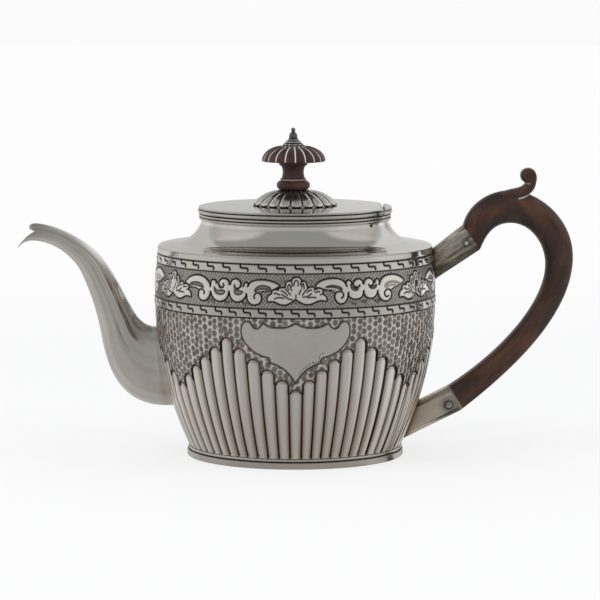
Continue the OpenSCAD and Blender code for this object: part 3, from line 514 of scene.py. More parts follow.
# Where the hooks of the two borders seen in front stand.
UPPER_HOOKS = [-53.8, -46, -38, -30.3, -22.5, -14.8, -7.3, 0, 7.8, 15.3, 23, 30.8, 38.5, 46.5]
LOWER_HOOKS = [-55.5, -48, -40.7, -33.3, -26.9, -20.8, -14.5, -8, -1.5, 4.7, 11.4, 18.6, 25.4, 32.2, 39.4, 46.2]


def all_round(marks, count):
    """Continues the marks evenly round the back."""
    gap = (marks[0] + 360 - marks[-1]) / (count - len(marks) + 1)
    return marks + [marks[-1] + gap * (i + 1) for i in range(count - len(marks))]


SMALL_MARKS = ("fine", "lens", "pale_lens", "fringe")
HOOK_TOP, FRIEZE_TOP, FRIEZE_LOW = 98.8, 94.6, 78.1  # heights of the lines between the borders


def upper_relief():
    s = Sheet(FIELD_Z, 101.5, 97, 2040)
    z = s.z[:, None]
    raised, lens, pale = (np.full(s.shape, -FAR) for _ in range(3))
    line = np.full(s.shape, FAR)
    left, middle, right = PALMETTE_AT
    back = (left + 360 - right) / 4  # a repeat behind is a little wider than in front
    repeats = [(LEFT, 0.0, 1.0, 0.0), (RIGHT, 0.0, 1.0, 0.0)]
    for i in range(4):
        source, a, b = (RIGHT, middle, right) if i % 2 else (LEFT, left, middle)
        repeats.append((source, a, back / (b - a), right + back * i))

    for source, a, stretch, place in repeats:
        def at(points):
            q = np.array(points, float)
            q[:, 0] = place + (q[:, 0] - a) * stretch
            return q
        parts = {key: spline(at(v), 5) for key, v in source.items() if key not in SMALL_MARKS}
        flipped = {key: v[::-1] for key, v in parts.items()}
        s.fill(raised, np.vstack([
            parts["arch1"], parts["leaf1"], parts["wave1"][8:], flipped["wave2"][:-8], parts["leaf2"], parts["arch2"],
            flipped["rim2"], flipped["curl2"][30:], flipped["low2"], flipped["low1"], flipped["curl1"][:-25],
            parts["rim1"]]))
        for key, v in parts.items():
            s.line(line, v, 0.36 if key.startswith("rim") else 0.50)
        for v in source["fine"]:
            s.line(line, spline(at(v), 4), 0.24)
        for field, key in ((lens, "lens"), (pale, "pale_lens")):
            for v in source[key]:
                s.fill(field, spline(at(v), 4, closed=True), 0.8)
        for x, y in at(source["fringe"]):
            sprig = [(x - 0.8, y + 0.9), (x - 0.1, y + 0.2), (x + 0.7, y + 0.7), (x + 0.3, y - 0.6)]
            s.line(line, spline(sprig, 3), 0.2)
    for place in PALMETTE_AT + [right + back * i for i in (1, 2, 3)]:
        move = np.array([place - middle, 0])
        edge = spline(np.array(PALMETTE) + move, 3, closed=True)
        s.fill(raised, edge)
        s.line(line, np.vstack([edge, edge[:1]]), 0.47)
        for v in VEINS:
            s.line(line, spline(np.array(v) + move, 4), 0.38)
        for x, y, r in BLOBS:
            s.line(line, [(x + move[0] - 0.05, y), (x + move[0] + 0.05, y)], r)
    for marks, top, knee, low, reach in ((all_round(UPPER_HOOKS, 48), HOOK_TOP, 97.0, 95.7, 3.3),
                                         (all_round(LOWER_HOOKS, 53), FRIEZE_LOW, 76.2, 74.9, 3.0)):
        for m in marks:
            hook = [(0, top), (0.05, (top + knee) / 2 + 0.2), (0.35, knee + 0.1), (reach / 2, knee),
                    (reach - 0.35, knee - 0.1), (reach, knee - 0.6), (reach, low)]
            s.line(line, spline([(m + x, y) for x, y in hook], 3), 0.58)
    for height, width in ((HOOK_TOP, 0.50), (FRIEZE_TOP, 0.42), (FRIEZE_LOW, 0.44), (FIELD_Z, 0.50)):
        line = np.minimum(line, np.abs(z - height) / width)

    x = s.theta[None, :] * K
    hatch = 1 - np.maximum(*(bell(np.sin((x + way * z) * math.pi / 1.80), 0.36) for way in (-1, 1)))
    speck = np.random.default_rng(SEED).normal(0, 1, s.shape)
    speck = (speck + np.roll(speck, 1, 1) + np.roll(speck, 1, 0)) / 2.2
    frieze = between(FRIEZE_LOW, FRIEZE_LOW + 0.4, FRIEZE_TOP - 0.4, FRIEZE_TOP, z)
    up = smoothstep(-0.12, 0.16, raised)
    hollow = smoothstep(-0.15, 0.2, lens)
    pale = smoothstep(-0.15, 0.25, pale)
    ink = bell(line, 1, 4)
    ground = frieze * (1 - up)
    rounding = 0.34 * clip(1 - np.maximum(raised, 0) / 1.25) ** 2
    height = -0.06 - ground * (0.48 - 0.20 * hatch) - frieze * up * rounding
    height -= 0.36 * hollow + 0.16 * pale + 0.30 * ink
    dark = np.maximum.reduce([ink, hollow * clip(0.90 - 0.30 * smoothstep(0.5, 1.2, lens) + 0.05 * speck),
                              ground * clip(0.14 + 0.72 * (1 - hatch) + 0.12 * speck), pale * 0.22])
    dark = np.maximum(dark, 0.16 * (1 - frieze) * (z < FRIEZE_LOW + 0.1))
    tan = pale * 0.55 + 0.10 * ground
    # The raised scrolls carry polish and a painted highlight, and the borders outside the frieze a little of the same
    # tone.
    polish_and_highlight = clip(frieze * up * smoothstep(0.1, 0.7, raised) * 0.75 + 0.25 * (1 - frieze)) * (1 - pale)
    return s, height, dark, tan, polish_and_highlight


# where the grooves between flutes seen in front lie, by number; 49 is -11 once more
GROOVES = {-11: -68.3, -8: -49.2, -5: -31.6, -4: -26.2, -2: -14.5, 0: -2.7, 1: 3.2, 4: 19, 7: 35.8, 8: 41.5, 9: 48.2,
           10: 54, 12: 66.3, 49: 291.7}
SHIELD_AT = (0.2, 180.2)
SHIELD = [(0, 71.5), (3, 69.9), (6.3, 69.35), (10, 69.8), (13, 71.5), (14, 69.8), (15.5, 68.7), (17, 69.5),
          (17.6, 70.8), (18.8, 72), (20.2, 72), (21.6, 70.2), (22.1, 67), (21.5, 64), (19.8, 60.8), (17, 57.7),
          (13.5, 55.7), (11.4, 55.1), (10.6, 54.4), (10.4, 53.3), (10.8, 52.6), (8.3, 51.8), (5, 49.7), (2.6, 47),
          (0.9, 44.4), (0, 42.6)]
SHIELD_CUSPS = [0, 4, 8, 20, len(SHIELD) - 1]
SHIELD_SECOND = [(11.2, 57.4), (9.9, 56.6), (9.6, 55), (9.8, 53.4), (6, 52.4), (3, 49.6), (1.2, 46.6)]


def shield_half(side, middle):
    sweeps = [spline(SHIELD[a:b + 1], 6) for a, b in zip(SHIELD_CUSPS[:-1], SHIELD_CUSPS[1:])]
    return np.vstack([sweeps[0]] + [v[1:] for v in sweeps[1:]]) * (side, 1) + (middle, 0)


def flute_distance(s, z, mm):
    """Distance to the nearest flute's edge, negative inside a flute."""
    first, last = min(GROOVES), max(GROOVES)
    theta = np.where(s.theta > GROOVES[last], s.theta - 360, s.theta)
    number = np.arange(first - 2, last + 3)
    edges = np.interp(number, list(GROOVES), list(GROOVES.values()))
    here = np.floor(np.interp(theta, list(GROOVES.values()), list(GROOVES))).astype(int)
    near = np.full(s.shape, FAR)
    for off in (-1, 0, 1):
        k = here + off
        left, right = np.interp(k, number, edges), np.interp(k + 1, number, edges)
        half = (right - left)[None, :] / 2 * mm
        dx = (theta - (left + right) / 2)[None, :] * mm
        top = 39.3 + 4.9 * np.abs((k + 5) % 10 - 5)[None, :]  # every tenth flute is the shortest
        cap = top - half
        d = np.where(z < cap, np.abs(dx) - half, np.hypot(dx, z - cap) - half)
        near = np.where((np.abs(d) < np.abs(near)) & ((d < 0) | (near >= 0)), d, near)
        if off == 0:
            own = d
    return np.where(own < 0, own, near)


def hammer_bowls(s, z, mm):
    """Bowls in staggered columns: how far into a bowl a point lies (0 to 1), and that bowl's tone."""
    count, rows, pitch, top = 144, 30, 3.12, 73.0
    jitter = np.random.default_rng(SEED + 1).uniform(-1, 1, (count, rows, 4))
    column = s.theta * count / 360
    bowl, tone = np.zeros(s.shape), np.zeros(s.shape)
    for di in (-1, 0, 1):
        i = np.floor(column).astype(int) + di
        shift = ((i % 2) * 0.5)[None, :]
        for dj in (-1, 0, 1):
            j = np.floor((top - z) / pitch - shift).astype(int) + dj
            jit = jitter[(i % count)[None, :], np.clip(j, 0, rows - 1)]
            x0 = (i + 0.5)[None, :] + 0.17 * jit[..., 0]
            z0 = top - (j + 0.5 + shift) * pitch + 0.38 * jit[..., 1]
            d = np.hypot((column[None, :] - x0) * 360 / count * mm, (z - z0) * 0.95)
            deep = clip(1 - (d / (1.80 + 0.14 * jit[..., 2])) ** 2)
            tone = np.where(deep > bowl, 0.55 + 0.45 * jit[..., 3], tone)
            bowl = np.maximum(bowl, deep)
    return bowl, tone


def lower_relief():
    s = Sheet(BASE_Z, FIELD_Z, 139, 1440)
    z = s.z[:, None]
    mm = body_radius(z) * math.pi / 180  # millimetres in one degree at this height
    near = flute_distance(s, z, mm)
    reserve = np.full(s.shape, -FAR)
    line = np.full(s.shape, FAR)
    for middle in SHIELD_AT:
        right, left = shield_half(1, middle), shield_half(-1, middle)
        s.fill(reserve, np.vstack([right, left[::-1][1:-1]]), 3)
        for v in (right, left):
            s.line(line, v, 0.50)
        s.line(line, spline([(a + middle, b) for a, b in SHIELD_SECOND], 4), 0.15)
    bowl, tone = hammer_bowls(s, z, mm)

    flute = near < 0
    field = smoothstep(0.15, 0.6, near) * (1 - smoothstep(-0.6, -0.2, reserve))
    groove = bell(near, 0.37, 4) * smoothstep(4.9, 5.4, z)
    depth = np.clip(-near, 0, 3.2)
    belly = np.where(flute, -1.15 * clip(1 - depth / 2.95) ** 2.1, -0.34 * smoothstep(0, 0.5, near))
    height = -0.05 + belly * smoothstep(4.7, 5.6, z) - 0.22 * groove
    height = np.where(flute, height, height - 0.52 * field * bowl)
    inside = smoothstep(-0.1, 0.35, reserve)
    ink = bell(line, 1, 4) * smoothstep(-0.2, 0.3, near)
    top_line = bell(z - FIELD_Z, 0.36)
    height = height * (1 - inside) - 0.14 * inside - 0.30 * ink - 0.30 * top_line
    # Dark in the deep of each bowl is tarnish in the hollow and partly painted shade.
    bowl_tarnish_and_shade = field * (0.02 + np.clip(0.45 + 0.24 * tone, 0, 0.85) * smoothstep(0.30, 0.66, bowl))
    dark = np.maximum(np.maximum.reduce([0.97 * groove, 0.95 * ink, bowl_tarnish_and_shade]), 0.97 * top_line)
    side = clip(np.abs((s.theta[None, :] + 180) % 360 - 180) / 90)
    tan = bell(near, 1.2) * (0.50 + 0.25 * smoothstep(40, 10, z)) + field * (0.16 + 0.24 * side) + 0.16 * flute
    # Painted highlights on the ridges between the bowls and down the middle of each flute.
    polish_and_highlight = field * (1 - smoothstep(0.20, 0.46, bowl)) * 0.95 + 0.65 * flute * smoothstep(0.5, 2.2, depth)
    return s, height, clip(dark), clip(tan), polish_and_highlight * (1 - inside)


def strip_uv(mesh, rows, cols, strips):
    """Lays the band out as several strips one over another, which uses the square well."""
    per = cols // strips
    i, j = np.meshgrid(np.arange(rows - 1), np.arange(cols), indexing="ij")
    strip = np.minimum(j // per, strips - 1)
    u0, v0 = (j - strip * per) / per, i / (rows - 1)
    u1, v1 = u0 + 1 / per, v0 + 1 / (rows - 1)
    u, v = np.stack([u0, u1, u1, u0], -1), np.stack([v0, v0, v1, v1], -1)
    edge_u, edge_v = 0.004, 0.01  # room left free at the borders
    u = edge_u + (1 - 2 * edge_u) * u
    v = (strip[..., None] + edge_v + (1 - 2 * edge_v) * v) / strips
    mesh.uv_layers.new(name="OFBake").data.foreach_set("uv", np.stack([u, v], -1).astype(np.float32).ravel())


def body_band(name, relief, strips):
    s, height, dark, tan, polish_and_highlight = relief
    r = body_radius(s.z)[:, None] - SKIN + np.minimum(height, 0)
    a = np.radians(s.theta)[None, :]
    v = np.stack([r * np.sin(a), -r * np.cos(a), np.repeat(s.z[:, None], s.cols, 1)], -1)
    mesh = raw_mesh(v, grid_faces(len(s.z), s.cols), {"dark": dark, "tan": tan, "polish_and_highlight": polish_and_highlight}, weld=False)
    strip_uv(mesh, len(s.z), s.cols, strips)
    finish_piece(mesh, name, "pot", ["body_wall"], "silver", chased)


body_band("body_chased_lower", lower_relief(), 3)
body_band("body_chased_upper", upper_relief(), 4)

# ---- inside of the body and its foot ------------------------------------------------
lining = [(1.0, 6.0)] + [(float(body_radius(z)) - 1.5, z) for z in np.linspace(6.2, 101.4, 60)]
finish_piece(turned(lining[::-1], closed=False), "body_lining", "pot", ["body_wall"], "silver", inner)
foot = ([(50.7, 0.25), (50.95, 0.02), (52.3, 0.02), (52.55, 0.25), (52.58, 1.6), (52.5, 2.85), (52.2, 3.12),
         (51.55, 3.2)] + arc(51.28, 4.1, 0.88, -72, 78, 12) + [(51.2, 5.0), (50.2, 5.0), (50.2, 4.2), (50.65, 3.6)])


def foot_ink(ang, r, z):
    return clip(bell(z - 3.2, 0.22) * 0.95 + bell(z - 5.0, 0.25) * 0.8 * (r > 51))


finish_piece(turned(foot, 256, attrs={"dark": foot_ink, "tan": 0.25}), "foot_band", "pot", ["foot_ring"], "silver",
             plain, sharp=40)

# ---- shoulder, neck and its reeds ---------------------------------------------------
cove = arc(COVE_X, COVE_Z, COVE_R, 270, 180 + math.degrees(math.asin((COVE_Z - NECK_Z) / COVE_R)), 40)
ledge = spline([(LEDGE_X - 0.4, 102.42), (62.8, 102.75), (COVE_X, 103.4)], 6).tolist()
shoulder = ([(SHOULDER_R - 1, 101.5), (SHOULDER_R - SKIN, 101.45)]
            + arc(LEDGE_X - SKIN, SHOULDER_Z - 0.8, 0.8, 0, 90, 8) + ledge + cove[1:]
            + [(x - 0.75, z - 0.55) for x, z in cove[::-1]] + [(64.5, 101.5)])


def neck_ink(ang, r, z):
    return clip(0.4 * bell(z - 114.5, 0.3) * (r < 45.6) + 0.6 * bell(z - 101.45, 0.2))


def neck_tan(ang, r, z):
    """Stain in the corner of the cove, and a patch under the reeds on either side."""
    patch = bell(np.abs(np.sin(ang)) - 0.72, 0.15)
    return 0.04 + 0.16 * bell(z - 103.6, 1.2) + 0.25 * bell(z - 114, 1.6) * patch


# A painted highlight: the neck is lighter just under the reeds.
def neck_painted_highlight(ang, r, z):
    return 0.9 * smoothstep(112.3, 113.8, z)


finish_piece(turned(shoulder, 256, attrs={"dark": neck_ink, "polish_and_highlight": neck_painted_highlight, "tan": neck_tan}),
             "shoulder_and_neck", "pot", ["shoulder_neck"], "silver", neck_silver, sharp=50)


def reed_ink(lines, width):
    return lambda ang, r, z: 0.95 * clip(sum(bell(z - h, width) * (r > 44.5) for h in lines))


def circle(r):
    """Outline (x, z) round the hinge wire."""
    t = turn(48)
    return np.stack([HINGE_X + r * np.sin(t), HINGE_Z + r * np.cos(t)], -1)


def joint_dirt(mesh):
    """Brown dirt in the reeds where the hinge knuckle meets them."""
    x, y, z = points_of(mesh).T
    dirt = bell(np.hypot(x - HINGE_X, z - HINGE_Z) - KNUCKLE_R, 0.3) * 0.6 + bell(x - 39.6, 1.5) * 0.45
    dirt = dirt * (np.abs(y) > 18) * (z < 120.2)
    old = np.empty(len(x), np.float32)
    for key, share in (("dark", 1.0), ("tan", 0.9)):
        mesh.attributes[key].data.foreach_get("value", old)
        set_values(mesh, key, clip(np.maximum(old, dirt * share)))
    return mesh


RIM_BORE = 44.3
reeds = ([(RIM_BORE, 114.72)] + arc(45.85, 115.45, 0.75, -85, 88, 14) + arc(45.85, 116.95, 0.75, -88, 88, 14)
         + [(RIM_BORE, 117.7)])
# The lighter band on the reeds below 115 mm is a painted highlight.
rim_attrs = {"dark": reed_ink((116.2, 117.75), 0.30), "polish_and_highlight": lambda ang, r, z: 0.9 * (z < 115.0), "tan": 0.12}
rim_mesh = cut(turned(reeds, 320, attrs=rim_attrs), prism_y(circle(KNUCKLE_R + 0.25), -26, 26))
finish_piece(joint_dirt(rim_mesh), "neck_reeds", "pot", ["neck_rim"], "silver", plain, sharp=35)

# ---- lid ----------------------------------------------------------------------------
REED_LOW, REED_HIGH, EDGE_LOW, EDGE_HIGH = 117.87, 119.84, 119.86, 121.05
LEAF_BORE = 34
reed_bow = arc(46.2, 118.85, 0.98, -84, 86, 18)
edge_bow = [(44.2, EDGE_LOW)] + arc(46.25, 120.45, 0.6, -80, 88, 10)
lid_rise = spline([(46.1, 121.07), (38, 121.2), (28.6, 121.42), (20.6, 121.52), (10, 121.56)], 4).tolist()
lid_reed = [(42.8, REED_LOW)] + reed_bow + [(42.8, REED_HIGH)]
lid_top = [(BORE, EDGE_LOW)] + edge_bow + lid_rise + [(BORE, 121.57)]
fixed_reed = [(LEAF_BORE, REED_LOW)] + reed_bow + [(LEAF_BORE, REED_HIGH)]
fixed_leaf = [(LEAF_BORE, EDGE_LOW)] + edge_bow + [(LEAF_BORE, EDGE_HIGH)]
knuckles = [(LEAF_BORE, REED_LOW)] + reed_bow + edge_bow + [(LEAF_BORE, EDGE_HIGH)]
lid_ink = {"dark": reed_ink((117.85, 119.85), 0.28), "tan": 0.12}
top_ink = {"dark": reed_ink((EDGE_LOW,), 0.42), "tan": 0.12}
# what the lid's edge sweeps on its way to 100 degrees, from the hinge wire
SWING = np.array([(-6, -0.3), (2.05, -0.3), (2.12, 0.1), (2.45, 1.85), (2.65, 3), (-6, 3)])
bore_cut = prism_y(circle(KNUCKLE_R + SLIT), -60, 60)
swing_cut = prism_y(SWING + (HINGE_X, HINGE_Z), -60, 60)
lid_mesh = cut(slice_x(turned(lid_reed, 320, attrs=lid_ink), HINGE_X - 1.0, "below"), bore_cut)
finish_piece(joint_dirt(lid_mesh), "lid_reed", "lid", ["lid_rim"], "silver", plain, sharp=35)
lid_mesh = cut(slice_x(turned(lid_top, 320, attrs=top_ink), HINGE_X - 0.3, "below"), bore_cut)
finish_piece(lid_mesh, "lid_top", "lid", ["lid_plate"], "silver", lid_silver, sharp=40)
for name, profile in (("fixed_reed", fixed_reed), ("fixed_leaf", fixed_leaf)):
    mesh = slice_x(turned(profile, 320, attrs=lid_ink), HINGE_X + 0.9, "above")
    mesh = joint_dirt(cut(cut(mesh, bore_cut), swing_cut))
    finish_piece(mesh, name, "pot", ["hinge_block"], "silver", plain, sharp=35)
for name, y0, y1 in (("knuckle_front", -26, -13.4), ("knuckle_middle", -4.4, 4.4), ("knuckle_back", 13.4, 26)):
    mesh = cut(turned(knuckles, 320, attrs=lid_ink), prism_y(circle(KNUCKLE_R), y0, y1), "INTERSECT")
    finish_piece(joint_dirt(mesh), name, "pot", ["hinge_knuckles_body"], "silver", plain, sharp=35)

# ---- knob ---------------------------------------------------------------------------
CALYX_N, CALYX_TURN = 21, 0.115  # petals and where they begin, in radians
CAP_N, CAP_TURN = 19, -0.062
ROSETTE_N, ROSETTE_TURN = 12, 0.1
KNOB_X = -0.9  # the knob sits a little off the lid's middle


def dome(r0, z0, r1, z1, flatness, steps=40):
    a = np.radians(np.linspace(0, 90, steps + 1))
    return [(r0 + (r1 - r0) * (1 - math.cos(t)), z0 + (z1 - z0) * math.sin(t) ** flatness) for t in a]


def petal_wave(ang, count, phase):
    """0 in the groove between two petals, 1 in the middle of a petal."""
    return np.abs(np.sin(count / 2 * (ang + phase)))


def across_petal(ang, count, phase):
    """The same, rising evenly from the groove to the middle."""
    return np.arcsin(clip(petal_wave(ang, count, phase))) * 2 / math.pi


def calyx_place(ang, r, z):
    """Where a point lies across its petal (0 to 1, and in millimetres) and above the petal's rounded end."""
    w = across_petal(ang, CALYX_N, CALYX_TURN)
    end = CALYX_Z + 0.35 + 1.5 * (1 - np.sqrt(clip(1 - (1 - w) ** 2)))
    return w, w * np.maximum(r, 5) * math.pi / CALYX_N, z - end


def calyx_relief(ang, r, z):
    w, _, lift = calyx_place(ang, r, z)
    t = clip((r - 6.5) / (CALYX_R - 6.5))
    under = smoothstep(0.12, -0.12, lift) * (r > 6.3)
    drop = 0.8 * (1 - w) ** 2 * (0.35 + 0.65 * t) * smoothstep(0, 0.2, t) * (1 - under)
    top = (z > CALYX_Z + 0.05) & (r > 6.3)
    return r - 0.8 * under, np.where(top, np.maximum(z - drop, CALYX_Z + 0.03), z)


# The grooves hold oxide; the outline along each petal's rounded end, the band along the calyx's foot and the darker
# petal middles towards the top are painted shade.
def calyx_ink_and_shade(ang, r, z):
    _, mm, lift = calyx_place(ang, r, z)
    above = smoothstep(-0.1, 0.1, lift)
    groove = bell(mm, 0.22 + 0.014 * r, 4) * (r > 6.4) * above
    end = bell(lift + 0.05, 0.26, 4) * (r > 15)
    low = 0.35 * smoothstep(121.95, 121.75, z) * (r > 15)
    shade = 0.30 * smoothstep(0.25, 0.8, mm / 2) * smoothstep(20, 9, r) * above
    return clip(np.maximum.reduce([groove, end, low, shade]))


# Painted highlights along both edges of each petal and along its rounded end.
def calyx_painted_highlight(ang, r, z):
    _, mm, lift = calyx_place(ang, r, z)
    return clip(0.85 * bell(mm - 0.85, 0.35) * smoothstep(0.2, 0.6, lift) + 0.85 * bell(lift - 0.6, 0.3))


OUT = CALYX_R - 0.05
calyx = ([(OUT - 0.25, CALYX_Z + 0.01), (OUT, CALYX_Z + 0.1)] + dome(OUT, CALYX_Z + 0.5, 6.2, RING_Z, 1.6)
         + [(BORE, RING_Z), (BORE, CALYX_Z + 0.02)])
finish_piece(turned(calyx, 480, relief=calyx_relief, attrs={"dark": calyx_ink_and_shade, "polish_and_highlight": calyx_painted_highlight, "tan": 0.12}),
             "calyx_petals", "lid", ["finial_calyx"], "silver", plain, sharp=60)


def turned_wood(profile, steps=128, relief=None, ink=None, shift=KNOB_X):
    """Turned piece whose grain runs upright."""
    mesh = turned(profile, steps, relief=relief, attrs={"dark": ink} if ink else None, shift=shift)
    x, y, z = points_of(mesh).T
    set_values(mesh, "grain", np.stack([z * 2.2, x, y], -1))
    return mesh


bow = [(5.95 + 2.15 * math.cos(t), 131.15 + 2.27 * math.sin(t)) for t in np.radians(np.linspace(-90, 90, 25))]
ring = [(BORE, RING_Z + 0.02)] + bow + [(BORE, STEM_Z - 0.02)]
finish_piece(turned_wood(ring, shift=-0.85), "knob_ring_turned", "lid", ["knob_ring"], "wood_knob", knob_wood, sharp=50)
waist = [(5.1 + (1 - math.sin(math.pi * t)) * (0.5 + 0.3 * t), 134.55 + 6.0 * t) for t in np.linspace(0, 1, 24)]
stem = ([(BORE, STEM_Z), (6.0, STEM_Z), (6.25, 133.7), (6.25, 134.3), (6.0, 134.55)] + waist
        + [(6.4, 140.6), (6.85, 141.0), (6.88, 142.0), (6.7, CAP_Z - 0.02), (BORE, CAP_Z - 0.02)])


# Pale lines at the top and at the foot of the stem are painted highlights.
def stem_painted_highlight(ang, r, z):
    return clip(0.8 * bell(z - 142.3, 0.2, 4) + 0.7 * bell(z - 133.6, 0.2, 4)) * (r > 5)


finish_piece(turned_wood(stem, ink=stem_painted_highlight), "knob_stem_turned", "lid", ["knob_stem"], "wood_knob", knob_wood,
             sharp=50)
cap = ([(BORE, CAP_Z + 0.02), (7.6, CAP_Z + 0.04), (11, 142.52), (14.4, 142.6), (15.25, 142.75)]
       + dome(15.45, 143.1, 4.4, ROSETTE_Z, 1.0, 36) + [(BORE, ROSETTE_Z)])


def cap_relief(ang, r, z):
    groove = (1 - across_petal(ang, CAP_N, CAP_TURN)) ** 2.2
    drop = 0.8 * (z > 143.05) * smoothstep(4.4, 8, r) * smoothstep(16.6, 12.5, r) * groove
    return r - 0.4 * (z > 142.6) * smoothstep(12.5, 15.4, r) * groove, z - drop


def cap_ink(ang, r, z):
    w = across_petal(ang, CAP_N, CAP_TURN)
    groove = bell(w * r * math.pi / CAP_N, 0.27, 4) * smoothstep(5.9, 6.4, r)
    arch = bell(r - 5.75 - 1.2 * (1 - w) ** 2, 0.24, 4)
    return clip(np.maximum(groove, arch * 0.9) * (z > 142.95))


finish_piece(turned_wood(cap, 540, relief=cap_relief, ink=cap_ink, shift=-0.75), "knob_cap_petals", "lid", ["knob_cap"],
             "wood_knob", cap_wood, sharp=60)
rosette = ([(BORE, ROSETTE_Z + 0.02), (5.0, ROSETTE_Z + 0.02), (5.15, 150.6), (5.1, 150.95), (4.8, 151.25),
            (4.2, 151.4), (3.95, 151.45)] + arc(3.45, 151.95, 0.5, -50, 80, 8) + [(3.1, 152.5), (2.9, 152.6)]
           + arc(2.45, 152.98, 0.4, -60, 88, 8) + [(BORE, 153.42)])


def rosette_relief(ang, r, z):
    w = petal_wave(ang, ROSETTE_N, ROSETTE_TURN)
    drop = 0.25 * (1 - w) ** 2 * smoothstep(4.0, 4.8, r) * (z > 150.6)
    return r - 0.4 * (1 - w) ** 1.5 * smoothstep(3.8, 5, r), z - drop


def rosette_ink(ang, r, z):
    lines = sum(bell(z - h, 0.16) for h in (150.4, 151.45, 152.55, 153.4))
    groove = (1 - petal_wave(ang, ROSETTE_N, ROSETTE_TURN)) ** 2 * smoothstep(3.9, 4.4, r)
    return clip(0.25 + 0.7 * lines + 0.5 * groove)


# Painted highlights on the edges of the rosette's rings.
def rosette_painted_highlight(ang, r, z):
    return clip(sum(bell(z - h, 0.22) for h in (151.05, 152.1, 153.15)))


rosette_attrs = {"dark": rosette_ink, "polish_and_highlight": rosette_painted_highlight, "tan": 0.0}
finish_piece(turned(rosette, 192, relief=rosette_relief, attrs=rosette_attrs, shift=KNOB_X), "rosette_petals", "lid",
             ["finial_rosette"], "silver_dark", blackened, sharp=60)
nut = [(0.62 + 1.43 * math.cos(t), 154.3 + 2.55 * math.sin(t)) for t in np.linspace(0.05, 1.45, 16)]
bead = [(1.1 * math.cos(t), 157.93 + 1.1 * math.sin(t)) for t in np.linspace(-0.95, math.pi / 2, 16)]
acorn = ([(1.38, 114), (1.38, 153.3), (2.15, 153.45), (2.2, 153.75), (2.0, 153.95), (2.05, 154.1)] + nut
         + [(0.62, 157.05)] + bead + [(0, 114)])


# Dark oxide all over, darker in the grooves; the upper half of the ball is less dark, a painted highlight.
def acorn_ink(ang, r, z):
    return clip(0.45 + 0.5 * bell(z - 157.0, 0.3) + 0.5 * bell(z - 153.95, 0.2) - 0.3 * (z > 157.9))


finish_piece(turned(acorn, 96, closed=False, attrs={"dark": acorn_ink, "tan": 0.0}, shift=KNOB_X), "acorn_bolt", "lid",
             ["finial_bolt"], "silver_dark", blackened, sharp=60)

# ---- spout --------------------------------------------------------------------------
# Three Bezier pieces along the belly and along the back, then one piece each for the beak.
LIP_LOW, LIP_HIGH = (-127, 104.1), (-125.5, 112.6)
SPOUT_LOW = np.array([(-body_radius(23.7), 23.7), (-83, 22), (-91, 38), (-94.3, 58), (-96.2, 68.5), (-99.5, 79.5),
                      (-104, 88.8), (-107.5, 96), (-117, 103.8), LIP_LOW])
SPOUT_HIGH = np.array([(-body_radius(62.2), 62.2), (-71.5, 62.2), (-75, 64.8), (-77, 67.5), (-81, 73), (-86.5, 86.5),
                       (-93, 95), (-98.5, 102), (-112, 111.5), LIP_HIGH])
BEAK_LOW = np.array([LIP_LOW, (-130.5, 104.2), (-132.8, 102.9), (-134.95, 100.3)])
BEAK_HIGH = np.array([LIP_HIGH, (-130.5, 113), (-131.8, 107.3), (-134.4, 102.9)])
SPOUT_WALL = 0.85


def bezier(p, t):
    t = np.asarray(t, float)[..., None]
    return (1 - t) ** 3 * p[0] + 3 * t * (1 - t) ** 2 * p[1] + 3 * t * t * (1 - t) * p[2] + t**3 * p[3]


def chain(p, u):
    """Point at u (0 to 3) along three Bezier pieces."""
    k = np.clip(np.floor(u).astype(int), 0, 2)
    out = np.zeros(u.shape + (2,))
    for i in range(3):
        out = np.where((k == i)[..., None], bezier(p[3 * i:3 * i + 4], u - i), out)
    return out


def spout_edge(u, line, beak):
    return np.where((u > 3)[..., None], bezier(beak, clip(u - 3)), chain(line, np.minimum(u, 3)))


def spout_creases(u, deg, h):
    """Depth of the lengthwise creases; deg counts from the back (0) to the belly (180)."""
    depth = 0.12 * np.minimum(h, 6.5) * bell(deg - 54, 8) * between(0.12, 0.7, 1.5, 2.1, u)
    depth = depth + 0.22 * bell(deg - 61, 5) * between(1.5, 2.0, 2.9, 3.05, u)
    for place, deep, width in ((84, 0.16, 7), (108, 0.16, 7), (128, 0.10, 6)):
        bent = deg - place - 8 * clip(1.4 - u)
        depth = depth + bell(bent, width) * deep * np.minimum(h, 7) / 6 * between(0.45, 1.0, 2.2, 2.9, u)
    return depth


def spout_surface(rings, sides, inset):
    """Points of the spout's outside, or inside by the inset, with their places along and round it."""
    s = (np.arange(rings + 1) / rings)[:, None]
    a = turn(sides)[None, :]
    c = np.cos(a)
    u = np.where(c > 0, 3 + 0.26 * smoothstep(0.0, 0.75, c), 3 + np.abs(c) ** 1.25) * s**1.15
    high, low = spout_edge(u, SPOUT_HIGH, BEAK_HIGH), spout_edge(u, SPOUT_LOW, BEAK_LOW)
    h = np.linalg.norm(high - low, axis=-1) / 2
    w = np.where(u <= 3, 4.2 + 9.8 * clip(1 - u / 3) ** 2.2, 4.2 * (1 - 0.82 * clip(u - 3) ** 1.3))
    deg = np.degrees(np.arccos(np.clip(c, -1, 1))) * np.ones_like(u)
    crease = 0 if inset else spout_creases(u, deg, h)
    k = (h - np.minimum(inset, 0.45 * h) - crease) / h
    x, z = np.moveaxis((high + low) / 2 + (high - low) / 2 * (k * c)[..., None], -1, 0)
    y = (w - np.minimum(inset, 0.45 * w) - 0.8 * crease) * np.sin(a) * (1 - 0.22 * c * clip(1 - u))
    root = -np.sqrt(np.maximum((body_radius(z) - WALL) ** 2 - y**2, 0))  # the first ring lies on the body's inside
    return np.stack([np.where(s * np.ones_like(u) < 1e-9, root, x), y, z], -1), u, deg


